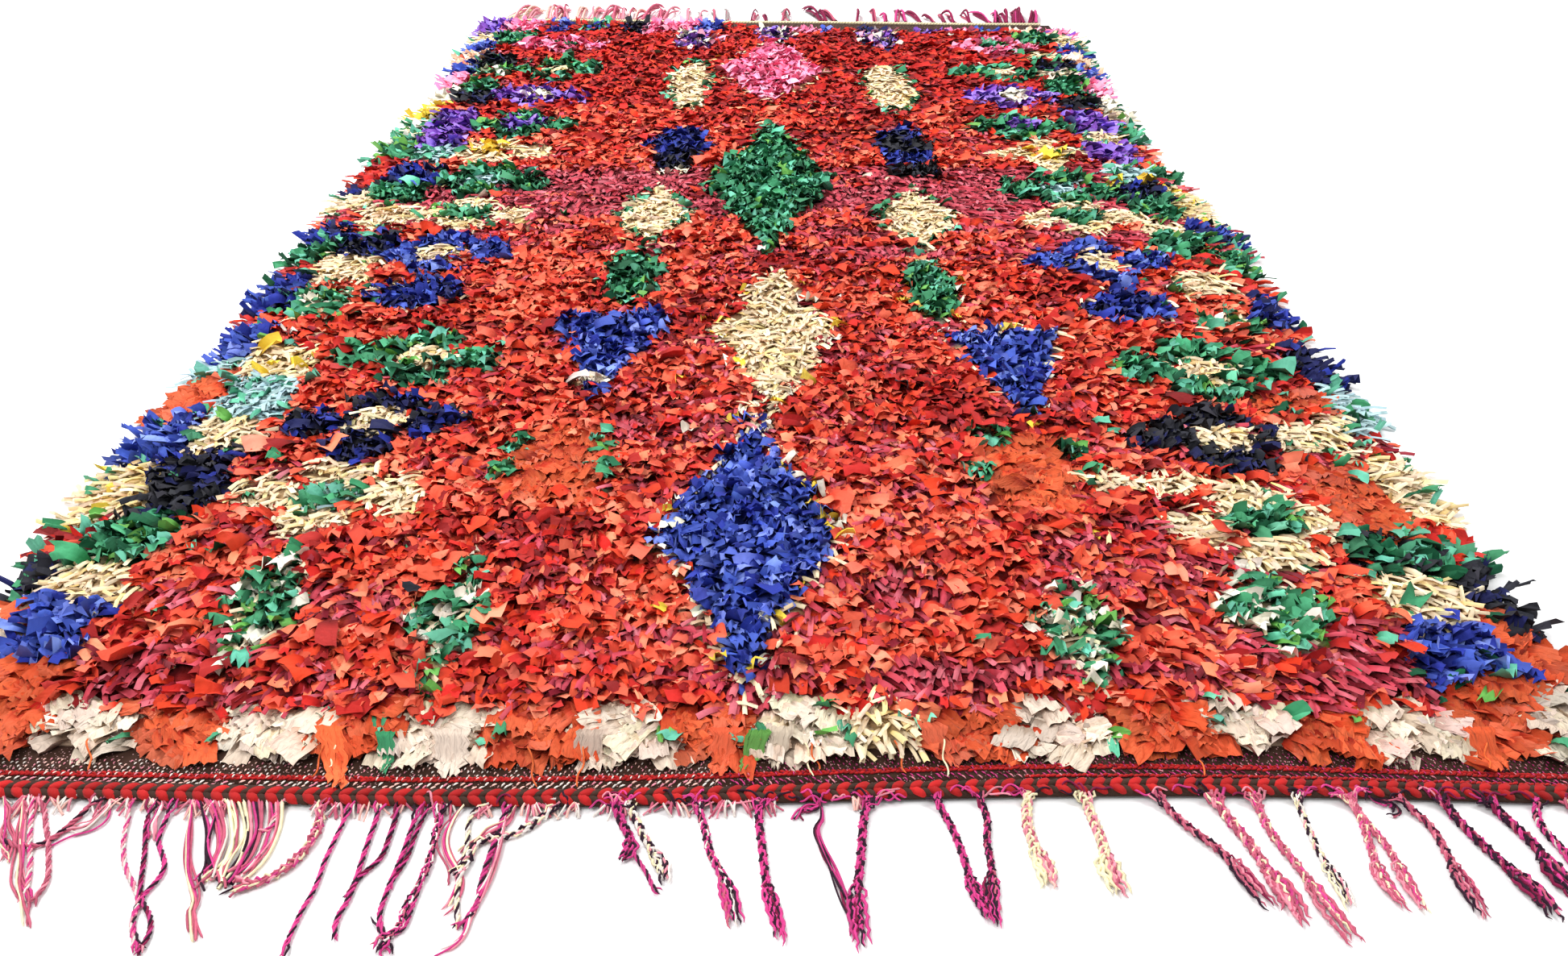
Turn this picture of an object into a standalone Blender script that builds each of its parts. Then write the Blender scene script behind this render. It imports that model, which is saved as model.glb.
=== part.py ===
"""A hand-knotted rag rug lying flat: woven ground, shaggy pile, twined near edge, far cord and two fringes.

X runs across the rug and Y from its near end to its far end. The origin is the middle of the underside.
Sizes are in metres.
"""

import math
import random

import bmesh
import bpy

# Gap between touching pieces, and the smallest length that counts as one
GAP = 0.0003
TINY = 0.0001

# A face whose normal has this share along an axis faces that way
FACING = 0.9

# Driving dimensions of the cloth
RUG_LENGTH = 2.842
GROUND_WIDTH = 1.53
GROUND_THICK = 0.003
NEAR_END = -RUG_LENGTH / 2
FAR_END = RUG_LENGTH / 2

# Unevenness of the hand-woven outline
NEAR_WAVE = 0.006
NEAR_WAVE_LENGTH = 1.1
NEAR_WAVE_SHIFT = 0.2
FAR_SLANT = 0.036
FAR_WAVE = 0.003
FAR_WAVE_LENGTH = 0.7
SIDE_SWELLS = (
    # (side, middle along Y, span, swell outward), side is -1 on the left and 1 on the right
    (-1, -0.92, 0.25, 0.009),
    (-1, -0.61, 0.10, -0.014),
    (-1, 0.65, 0.20, -0.020),
    (-1, 1.42, 0.20, 0.018),
    (1, -0.85, 0.45, 0.009),
    (1, -0.19, 0.14, 0.022),
    (1, 0.25, 0.12, -0.010),
    (1, 1.13, 0.32, 0.030),
)
OUTLINE_STEPS_ACROSS = 24
OUTLINE_STEPS_ALONG = 40

# Twined near edge: two rows of slanted yarn floats that meet in chevrons
TWINE_DEPTH = 0.020
TWINE_HEIGHT = 0.010
TWINE_RIDGE = 0.0022
TWINE_SLANT = 0.0038
CHEVRONS = 206

# Twisted cord along the far end
CORD_DEPTH = 0.008
CORD_HEIGHT = 0.008
CORD_STEPS = 30

# Pile field: a lumpy slab on the ground weave, with rag locks along both sides
PILE_NEAR_BAND = 0.044
PILE_FAR_BAND = 0.095
PILE_OVERHANG = 0.010
PILE_TOP = 0.030
PILE_RIM = 0.014
RIM_ROUNDING = 0.060
NEAR_BORDER_DEPTH = 0.090
NEAR_BORDER_DROP = 0.009
FAR_BORDER_DEPTH = 0.10
FAR_BORDER_DROP = 0.008
PILE_COLUMNS = 27
PILE_ROWS = 46
RIM_RAGGED = 0.006
LUMPS = (
    # (wave length across, wave length along, phase, height)
    (0.23, 0.41, 0.6, 0.0026),
    (-0.36, 0.19, 2.1, 0.0024),
    (0.15, -0.27, 4.0, 0.0022),
    (0.31, 0.13, 5.2, 0.0018),
)
LOW_BANDS = (
    # (middle along Y, half length, half width across, drop)
    (0.07, 0.10, 0.42, 0.0040),
    (-1.19, 0.07, 0.60, 0.0020),
)
RAISED_MOTIFS = (
    # (middle across, middle along, half width, half length, rise)
    (-0.010, -1.065, 0.10, 0.23, 0.0040),
    (0.010, -0.565, 0.08, 0.22, 0.0020),
    (0.010, 0.080, 0.11, 0.33, 0.0030),
    (0.010, 0.850, 0.12, 0.27, 0.0025),
)
# The change of height that a band or motif makes dies out at this multiple of its half size
FADE = 1.5
LOCK_LENGTH = (0.024, 0.050)
LOCK_LEAN = 0.012
LOCK_STEPS = (
    # (share of the length, share of the root's width, underside, top)
    (0.55, 0.66, 0.0010, 0.0125),
    (1.00, 0.34, 0.0000, 0.0060),
)
LOCK_SEED = 7

# Fringes: flat strands that rest on the floor, fused to a narrow strip along the edge
STRIP_DEPTH = 0.004
STRIP_HEIGHT = 0.005
STRAND_STEPS = (
    # (share of the reach, share of the width, height)
    (0.20, 0.92, 0.0080),
    (0.45, 0.84, 0.0075),
    (0.70, 0.78, 0.0070),
    (0.86, 0.98, 0.0065),
    (1.00, 0.45, 0.0040),
)
SHORT_STRAND_STEPS = ((0.50, 0.84, 0.0070), (1.00, 0.50, 0.0045))
DRIFT_POWER = 1.5
NEAR_STRANDS = (
    # (across, reach, drift, width)
    (-0.745, 0.130, 0.015, 0.012),
    (-0.705, 0.120, 0.006, 0.012),
    (-0.665, 0.135, 0.012, 0.011),
    (-0.625, 0.100, 0.024, 0.010),
    (-0.592, 0.115, 0.022, 0.010),
    (-0.560, 0.130, 0.020, 0.010),
    (-0.515, 0.120, 0.024, 0.010),
    (-0.485, 0.150, 0.026, 0.011),
    (-0.455, 0.105, 0.018, 0.009),
    (-0.434, 0.100, 0.014, 0.009),
    (-0.414, 0.100, 0.008, 0.009),
    (-0.393, 0.100, -0.002, 0.009),
    (-0.345, 0.105, -0.024, 0.014),
    (-0.320, 0.155, -0.016, 0.010),
    (-0.292, 0.125, -0.018, 0.010),
    (-0.264, 0.130, -0.018, 0.010),
    (-0.238, 0.130, -0.020, 0.011),
    (-0.205, 0.130, -0.022, 0.009),
    (-0.165, 0.120, -0.030, 0.012),
    (-0.107, 0.060, 0.008, 0.010),
    (-0.085, 0.085, 0.024, 0.012),
    (-0.040, 0.125, 0.036, 0.012),
    (0.010, 0.130, 0.010, 0.012),
    (0.055, 0.120, 0.010, 0.009),
    (0.095, 0.130, -0.010, 0.013),
    (0.150, 0.120, 0.024, 0.012),
    (0.190, 0.125, 0.006, 0.012),
    (0.235, 0.080, 0.005, 0.013),
    (0.280, 0.085, 0.010, 0.013),
    (0.335, 0.105, 0.050, 0.013),
    (0.375, 0.115, 0.046, 0.014),
    (0.415, 0.140, 0.038, 0.013),
    (0.445, 0.120, 0.032, 0.011),
    (0.495, 0.120, 0.018, 0.014),
    (0.545, 0.125, 0.012, 0.011),
    (0.575, 0.130, 0.036, 0.013),
    (0.620, 0.125, 0.040, 0.013),
    (0.660, 0.120, 0.042, 0.012),
    (0.700, 0.130, 0.036, 0.012),
    (0.740, 0.120, 0.030, 0.012),
)
FAR_STRAND_COUNT = 44
FAR_STRAND_WIDTH = 0.010
FAR_REACH = (0.090, 0.165)
FAR_DRIFT = 0.011
FAR_SEED = 11

MATERIALS = {
    # node: (base colour, roughness)
    "ground_weave": ((0.045, 0.024, 0.016), 0.95),
    "pile": ((0.560, 0.045, 0.022), 0.90),
    "twined_edge": ((0.400, 0.016, 0.012), 0.90),
    "near_fringe": ((0.560, 0.085, 0.180), 0.90),
    "far_cord": ((0.620, 0.500, 0.290), 0.90),
    "far_fringe": ((0.500, 0.080, 0.150), 0.90),
}


def near_end(x):
    """Y of the outer face of the twined edge."""
    turn = 2 * math.pi * (x + NEAR_WAVE_SHIFT) / NEAR_WAVE_LENGTH
    return NEAR_END - NEAR_WAVE * math.cos(turn)


def far_end(x):
    """Y of the outer face of the far cord, which runs a little askew."""
    return FAR_END - FAR_SLANT * x + FAR_WAVE * math.sin(2 * math.pi * x / FAR_WAVE_LENGTH)


def half_width(side, y):
    """Distance from the centreline to the edge of the ground weave, at y on one side."""
    reach = GROUND_WIDTH / 2
    for swell_side, middle, span, swell in SIDE_SWELLS:
        if swell_side == side:
            reach += swell * math.exp(-(((y - middle) / span) ** 2))
    return reach


def ground_near(x):
    return near_end(x) + TWINE_DEPTH + GAP


def ground_far(x):
    return far_end(x) - CORD_DEPTH - GAP


def smooth_step(value):
    share = min(1.0, max(0.0, value))
    return share * share * (3 - 2 * share)


def pile_height(x, y, to_rim):
    """Z of the slab's top, to_rim metres in from its rim."""
    top = PILE_TOP
    for across, along, phase, height in LUMPS:
        top += height * math.sin(2 * math.pi * (x / across + y / along) + phase)
    for middle, length, width, drop in LOW_BANDS:
        inside = smooth_step(FADE - abs(y - middle) / length) * smooth_step(FADE - abs(x) / width)
        top -= drop * inside
    for across, along, width, length, rise in RAISED_MOTIFS:
        reach = abs(x - across) / width + abs(y - along) / length
        top += rise * smooth_step(FADE - reach)
    from_near = y - NEAR_END - PILE_NEAR_BAND
    from_far = FAR_END - PILE_FAR_BAND - y
    top -= NEAR_BORDER_DROP * smooth_step(FADE - from_near / NEAR_BORDER_DEPTH)
    top -= FAR_BORDER_DROP * smooth_step(FADE - from_far / FAR_BORDER_DEPTH)
    return PILE_RIM + (top - PILE_RIM) * smooth_step(to_rim / RIM_ROUNDING)


def material(name):
    colour, roughness = MATERIALS[name]
    made = bpy.data.materials.new(name)
    made.use_nodes = True
    shader = made.node_tree.nodes["Principled BSDF"]
    shader.inputs["Base Color"].default_value = (*colour, 1.0)
    shader.inputs["Roughness"].default_value = roughness
    return made


def add_object(name, data, collection):
    made = bpy.data.objects.new(name, data)
    made.data.materials.append(material(name))
    collection.objects.link(made)
    return made


def add_mesh(name, bm, collection):
    bmesh.ops.recalc_face_normals(bm, faces=bm.faces[:])
    mesh = bpy.data.meshes.new(name)
    bm.to_mesh(mesh)
    bm.free()
    return add_object(name, mesh, collection)


def ground_outline():
    """The sheet's outline, anticlockwise from the near left corner."""
    shares = [(step + 1) / OUTLINE_STEPS_ACROSS for step in range(OUTLINE_STEPS_ACROSS - 1)]
    rises = [step / OUTLINE_STEPS_ALONG for step in range(OUTLINE_STEPS_ALONG + 1)]
    points = []
    for share in shares:
        x = GROUND_WIDTH * (share - 0.5)
        points.append((x, ground_near(x)))
    edge_x = GROUND_WIDTH / 2
    for rise in rises:
        y = ground_near(edge_x) + rise * (ground_far(edge_x) - ground_near(edge_x))
        points.append((half_width(1, y), y))
    for share in reversed(shares):
        x = GROUND_WIDTH * (share - 0.5)
        points.append((x, ground_far(x)))
    for rise in reversed(rises):
        y = ground_near(-edge_x) + rise * (ground_far(-edge_x) - ground_near(-edge_x))
        points.append((-half_width(-1, y), y))
    return points


def make_ground_weave(collection):
    """One flat sheet, the whole woven cloth under the pile and both bare end bands."""
    curve = bpy.data.curves.new("ground_weave", "CURVE")
    curve.dimensions = "2D"
    curve.fill_mode = "BOTH"
    curve.extrude = GROUND_THICK / 2
    points = ground_outline()
    spline = curve.splines.new("POLY")
    spline.points.add(len(points) - 1)
    spline.use_cyclic_u = True
    for target, (x, y) in zip(spline.points, points):
        target.co = (x, y, 0.0, 1.0)
    ground = add_object("ground_weave", curve, collection)
    ground.location.z = GROUND_THICK / 2


def place_pile_point(u, v):
    """(x, y, metres in from the rim) on the slab's plan, from u across and v along, each -1 to 1."""
    side = 1 if u > 0 else -1
    guess_x = u * GROUND_WIDTH / 2
    near = near_end(guess_x) + PILE_NEAR_BAND
    far = far_end(guess_x) - PILE_FAR_BAND
    y = near + (v + 1) / 2 * (far - near)
    reach = half_width(side, y) + PILE_OVERHANG
    return u * reach, y, min((1 - abs(u)) * reach, y - near, far - y)


def split_side_walls(bm):
    """Halves each wall face of the two long sides, so that each lock has its own root."""
    edges = []
    for face in bm.faces:
        if abs(face.normal.x) > FACING:
            for edge in face.edges:
                runs_along = abs(edge.verts[0].co.y - edge.verts[1].co.y) > TINY
                if runs_along and edge not in edges:
                    edges.append(edge)
    bmesh.ops.subdivide_edges(bm, edges=edges, cuts=1)


def grow_lock(bm, face, draw):
    """Draws one rim face out into a flattened lock that comes down to the floor."""
    outward = 1 if face.normal.x > 0 else -1
    root = face.calc_center_median()
    half = max(abs(v.co.y - root.y) for v in face.verts)
    marks = [
        (math.copysign(1, v.co.y - root.y), v.co.z > root.z, abs(v.co.x))
        for v in face.verts
    ]
    length = draw.uniform(*LOCK_LENGTH)
    lean = draw.uniform(-LOCK_LEAN, LOCK_LEAN)
    for share, narrowing, low, high in LOCK_STEPS:
        face = bmesh.ops.extrude_discrete_faces(bm, faces=[face])["faces"][0]
        for vert, (along, is_top, start) in zip(face.verts, marks):
            vert.co.x = outward * (start + length * share)
            vert.co.y = root.y + lean * share + along * half * narrowing
            vert.co.z = high if is_top else low


def make_pile(collection):
    """The shag as one lumpy slab, level below, with ragged ends and locks along both long sides."""
    draw = random.Random(LOCK_SEED)
    bm = bmesh.new()
    bmesh.ops.create_grid(bm, x_segments=PILE_COLUMNS, y_segments=PILE_ROWS, size=1.0)
    for vert in bm.verts:
        x, y, to_rim = place_pile_point(vert.co.x, vert.co.y)
        if abs(vert.co.y) > 1 - TINY and abs(vert.co.x) < 1 - TINY:
            y += math.copysign(draw.uniform(0, RIM_RAGGED), vert.co.y)
        vert.co = (x, y, pile_height(x, y, to_rim))
    bmesh.ops.recalc_face_normals(bm, faces=bm.faces[:])
    if bm.faces[0].normal.z < 0:
        bmesh.ops.reverse_faces(bm, faces=bm.faces[:])
    under = bmesh.ops.extrude_face_region(bm, geom=bm.faces[:])["geom"]
    flat = [part for part in under if isinstance(part, bmesh.types.BMFace)]
    for part in under:
        if isinstance(part, bmesh.types.BMVert):
            part.co.z = GROUND_THICK + GAP
    bmesh.ops.dissolve_faces(bm, faces=flat)
    bmesh.ops.recalc_face_normals(bm, faces=bm.faces[:])
    split_side_walls(bm)
    bm.normal_update()
    roots = [f for f in bm.faces if abs(f.normal.x) > FACING]
    roots.sort(key=lambda f: (f.normal.x > 0, f.calc_center_median().y))
    for face in roots:
        grow_lock(bm, face, draw)
    add_mesh("pile", bm, collection)


def make_twined_edge(collection):
    """A low bar whose top carries the chevrons, each one a crest with its middle pushed along X."""
    bm = bmesh.new()
    rings = 2 * CHEVRONS
    bmesh.ops.create_cone(bm, cap_ends=True, segments=5, radius1=1, radius2=1, depth=2)
    lengthwise = [e for e in bm.edges if abs(e.verts[0].co.z - e.verts[1].co.z) > 1]
    bmesh.ops.subdivide_edges(bm, edges=lengthwise, cuts=rings - 1, use_grid_fill=True)
    section = (
        # (share of the depth from the inner side, height, share of the ridge, share of the slant)
        (0.00, 0.0, 0.0, 0.0),
        (0.00, TWINE_HEIGHT * 0.72, 0.6, -1.0),
        (0.50, TWINE_HEIGHT * 0.92, 1.0, 1.0),
        (1.00, TWINE_HEIGHT * 0.66, 0.6, -1.0),
        (1.00, 0.0, 0.0, 0.0),
    )
    for vert in bm.verts:
        corner = round(math.atan2(vert.co.y, vert.co.x) / (2 * math.pi / 5)) % 5
        ring = round((vert.co.z + 1) / 2 * rings)
        across, height, ridge, slant = section[corner]
        x = GROUND_WIDTH * (ring / rings - 0.5)
        y = near_end(x) + TWINE_DEPTH * (1 - across)
        crest = TWINE_RIDGE * ridge * (ring % 2)
        push = TWINE_SLANT * slant * (0 < ring < rings)
        vert.co = (x + push, y, height + crest)
    add_mesh("twined_edge", bm, collection)


def make_far_cord(collection):
    """The twisted cord that closes the far end, a plain bar with eased upper edges."""
    bm = bmesh.new()
    bmesh.ops.create_cone(bm, cap_ends=True, segments=6, radius1=1, radius2=1, depth=2)
    lengthwise = [e for e in bm.edges if abs(e.verts[0].co.z - e.verts[1].co.z) > 1]
    bmesh.ops.subdivide_edges(bm, edges=lengthwise, cuts=CORD_STEPS - 1, use_grid_fill=True)
    section = (
        # (share of the depth from the outer side, share of the height)
        (0.00, 0.00),
        (0.00, 0.55),
        (0.30, 1.00),
        (0.70, 1.00),
        (1.00, 0.55),
        (1.00, 0.00),
    )
    for vert in bm.verts:
        corner = round(math.atan2(vert.co.y, vert.co.x) / (2 * math.pi / 6)) % 6
        across, height = section[corner]
        x = GROUND_WIDTH * vert.co.z / 2
        vert.co = (x, far_end(x) - CORD_DEPTH * across, CORD_HEIGHT * height)
    add_mesh("far_cord", bm, collection)


def fringe_strip(roots, edge, outward):
    """The narrow strip that the strands share, cut at each strand's two sides."""
    bm = bmesh.new()
    bmesh.ops.create_cube(bm, size=1.0)
    bmesh.ops.scale(bm, vec=(GROUND_WIDTH, STRIP_DEPTH, STRIP_HEIGHT), verts=bm.verts[:])
    for across, width in roots:
        for side in (-0.5, 0.5):
            bmesh.ops.bisect_plane(
                bm,
                geom=bm.verts[:] + bm.edges[:] + bm.faces[:],
                plane_co=(across + side * width, 0, 0),
                plane_no=(1, 0, 0),
            )
    for vert in bm.verts:
        vert.co.y += edge(vert.co.x) + outward * (GAP + STRIP_DEPTH / 2)
        vert.co.z += STRIP_HEIGHT / 2
    bm.normal_update()
    return bm


def grow_strand(bm, across, reach, drift, width, outward, steps):
    """Draws the strip's face at the strand's root out along the floor, step by step."""
    faces = [f for f in bm.faces if f.normal.y * outward > FACING]
    face = min(faces, key=lambda f: abs(f.calc_center_median().x - across))
    root = face.calc_center_median()
    marks = [(math.copysign(1, v.co.x - root.x), v.co.z > root.z) for v in face.verts]
    for share, narrowing, height in steps:
        face = bmesh.ops.extrude_discrete_faces(bm, faces=[face])["faces"][0]
        lean = drift * DRIFT_POWER * share ** (DRIFT_POWER - 1)
        turn = math.atan2(lean, reach)
        half = width / 2 * narrowing
        for vert, (side, is_top) in zip(face.verts, marks):
            vert.co.x = across + drift * share**DRIFT_POWER + side * half * math.cos(turn)
            vert.co.y = root.y + outward * (reach * share - side * half * math.sin(turn))
            vert.co.z = height if is_top else 0.0


def make_near_fringe(collection):
    roots = [(across, width) for across, _, _, width in NEAR_STRANDS]
    bm = fringe_strip(roots, near_end, -1)
    for across, reach, drift, width in NEAR_STRANDS:
        grow_strand(bm, across, reach, drift, width, -1, STRAND_STEPS)
    add_mesh("near_fringe", bm, collection)


def make_far_fringe(collection):
    draw = random.Random(FAR_SEED)
    pitch = GROUND_WIDTH / FAR_STRAND_COUNT
    middles = [pitch * (n + 0.5) - GROUND_WIDTH / 2 for n in range(FAR_STRAND_COUNT)]
    bm = fringe_strip([(x, FAR_STRAND_WIDTH) for x in middles], far_end, 1)
    for x in middles:
        reach = draw.uniform(*FAR_REACH)
        drift = draw.uniform(-FAR_DRIFT, FAR_DRIFT)
        grow_strand(bm, x, reach, drift, FAR_STRAND_WIDTH, 1, SHORT_STRAND_STEPS)
    add_mesh("far_fringe", bm, collection)


def main():
    for obj in list(bpy.data.objects):
        bpy.data.objects.remove(obj)
    rug = bpy.data.collections.new("rag_rug")
    bpy.context.scene.collection.children.link(rug)
    make_ground_weave(rug)
    make_pile(rug)
    make_twined_edge(rug)
    make_near_fringe(rug)
    make_far_cord(rug)
    make_far_fringe(rug)


main()
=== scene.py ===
"""A hand-knotted rag rug on a pale floor, seen along its length from the braided near end.

X runs across the rug, Y from the near end to the far end, and Z up. Sizes are in metres.
"""

import math

import bmesh
import bpy
import numpy as np
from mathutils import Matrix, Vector
from mathutils.bvhtree import BVHTree


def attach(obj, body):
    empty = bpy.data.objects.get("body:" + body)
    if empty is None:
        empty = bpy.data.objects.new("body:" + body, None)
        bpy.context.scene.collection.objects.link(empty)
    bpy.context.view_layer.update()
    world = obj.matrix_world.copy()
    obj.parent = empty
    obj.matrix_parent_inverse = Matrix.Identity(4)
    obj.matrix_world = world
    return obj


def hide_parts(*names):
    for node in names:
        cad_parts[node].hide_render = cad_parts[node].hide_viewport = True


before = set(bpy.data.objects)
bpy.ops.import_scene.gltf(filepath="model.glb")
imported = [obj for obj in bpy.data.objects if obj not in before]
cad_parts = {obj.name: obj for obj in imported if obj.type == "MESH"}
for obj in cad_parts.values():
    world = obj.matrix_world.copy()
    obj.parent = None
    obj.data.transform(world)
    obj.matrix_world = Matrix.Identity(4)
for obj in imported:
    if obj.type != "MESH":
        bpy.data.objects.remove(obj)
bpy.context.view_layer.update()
TAU = 2 * math.pi
TINY = 0.0001
UP = np.array([0, 0, 1.0])

# Camera, from the photograph's vanishing point and framing
PHOTO_WIDTH = 1946
FOCAL_PX = 1500
SENSOR = 36.0
CAMERA_PLACE = (0.024, -2.139, 0.816)
CAMERA_PITCH = 33.53
AXIS_OFFSET_PX = 6.5

# Light and floor
FLOOR_SIZE = 14.0
FLOOR_COLOUR = (0.93, 0.93, 0.93)
SKY_STRENGTH = 0.52
KEY_LIGHTS = (
    # (place, size, watts)
    ((-1.6, 1.9, 3.0), 1.3, 165.0),
    ((2.2, -0.4, 3.4), 1.8, 60.0),
    ((-1.2, -2.2, 3.0), 1.6, 60.0),
)

# Cloth and yarn colours as they look, each with the cloth that it comes in
PALETTE = {
    # name: (red, green, blue, cloth)
    "coral": (232, 94, 66, "cotton"),
    "orange_red": (212, 60, 30, "cotton"),
    "red": (190, 34, 28, "cotton"),
    "brick": (142, 20, 22, "cotton"),
    "pale_coral": (244, 134, 100, "cotton"),
    "crimson": (190, 66, 82, "jersey"),
    "deep_crimson": (132, 28, 44, "jersey"),
    "rose": (206, 102, 116, "jersey"),
    "orange": (206, 89, 51, "crumple"),
    "burnt_orange": (195, 74, 38, "crumple"),
    "off_white": (222, 203, 184, "crumple"),
    "cream": (237, 215, 181, "noodle"),
    "straw": (236, 211, 154, "noodle"),
    "grey_blue": (176, 206, 210, "noodle"),
    "yellow": (232, 200, 66, "ruffle"),
    "white": (232, 224, 208, "ruffle"),
    "cobalt": (64, 86, 178, "ruffle"),
    "blue": (36, 50, 146, "ruffle"),
    "light_blue": (120, 140, 222, "ruffle"),
    "navy": (28, 32, 82, "ruffle"),
    "charcoal": (42, 42, 50, "ruffle"),
    "green": (66, 146, 104, "ruffle"),
    "dark_green": (20, 86, 56, "ruffle"),
    "teal": (100, 182, 152, "ruffle"),
    "leaf_green": (106, 170, 80, "ruffle"),
    "pink": (250, 124, 164, "ruffle"),
    "rose_pink": (252, 168, 196, "ruffle"),
    "purple": (122, 70, 172, "ruffle"),
    "lilac": (152, 120, 216, "ruffle"),
    "peach": (242, 196, 166, "ruffle"),
}
NAMES = list(PALETTE)

# What a patch of the rug is knotted from, as shares of the palette
MIXES = {
    "far_red": dict(brick=2, red=9, orange_red=3),
    "hot_coral": dict(orange_red=5, coral=4, red=4, pale_coral=2, brick=1),
    "deep_red": dict(brick=2, red=4, orange_red=2, crimson=1),
    "coral_red": dict(coral=5, orange_red=4, red=4, pale_coral=2, brick=1),
    "jersey": dict(crimson=6, deep_crimson=3, rose=2),
    "salmon": dict(coral=7, pale_coral=3, orange_red=3),
    "dark_patch": dict(brick=4, red=5, orange_red=2, deep_crimson=1),
    "blue": dict(cobalt=6, blue=3, light_blue=2),
    "deep_blue": dict(blue=5, navy=2, cobalt=2),
    "navy": dict(navy=5, blue=2, charcoal=2),
    "black": dict(charcoal=6, navy=2),
    "green": dict(green=6, teal=3, dark_green=3, leaf_green=1),
    "bright_green": dict(green=3, teal=4, leaf_green=1),
    "side_green": dict(green=5, teal=3, dark_green=3, leaf_green=1),
    "dark_green": dict(dark_green=3, green=4, teal=2, charcoal=3),
    "pink": dict(pink=6, rose_pink=4),
    "purple": dict(purple=5, lilac=4),
    "lilac": dict(lilac=4, purple=2),
    "cream": dict(cream=8, straw=2),
    "cream_yellow": dict(cream=10, straw=9, yellow=1),
    "grey_blue": dict(grey_blue=5, teal=1),
    "peach": dict(peach=4, white=3, coral=1),
    "white": dict(white=6, cream=3),
    "off_white": dict(off_white=1),
    "orange": dict(orange=7, burnt_orange=3),
    "yellow": dict(yellow=3, straw=2),
    "green_cream": dict(green=3, teal=1, cream=3, white=1, leaf_green=1),
    "green_blue": dict(green=4, grey_blue=3, teal=2),
    "green_white": dict(green=4, white=3, cream=2, teal=2, leaf_green=1),
    "purple_white": dict(lilac=2, purple=2, white=3, navy=2, rose_pink=1),
    "orange_white": dict(orange=5, off_white=4),
    "green_red": dict(coral=3, red=3, orange_red=2, green=1, teal=1),
    "pink_purple": dict(pink=4, purple=3, lilac=2),
    "blue_green": dict(blue=3, green=3, teal=1),
    "edge_bits": dict(cream=5, white=2, yellow=1),
}

# The field from the far end to the near end: each band runs down to its lower Y
FIELD_BANDS = (
    # (lower Y, rag mix, share of jersey strips)
    (0.54, "far_red", 0.08),
    (0.15, "hot_coral", 0.14),
    (-0.11, "deep_red", 0.86),
    (-0.30, "coral_red", 0.42),
    (-0.62, "coral_red", 0.22),
    (-1.02, "coral_red", 0.34),
    (-1.22, "coral_red", 0.46),
    (-1.60, "coral_red", 0.62),
)
LEFT_RAGS_Y = -0.30
SALMON_TO = 0.30
SALMON_ABOVE = 0.45
DARK_BELOW = -0.50
STRAY_SHARE = 0.005
STRAY_MIX = dict(cream=4, white=4, yellow=1, green=2, teal=1, charcoal=1, straw=2, orange=3)

# Green bits outside each distance from the centreline, as (distance, share). The near left columns lean
# outwards, by so much past a Y and over a length
SIDE_BITS = ((0.57, 0.018), (0.785, 0.14))
LEFT_LEAN = (0.036, -0.98, 0.12)

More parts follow.
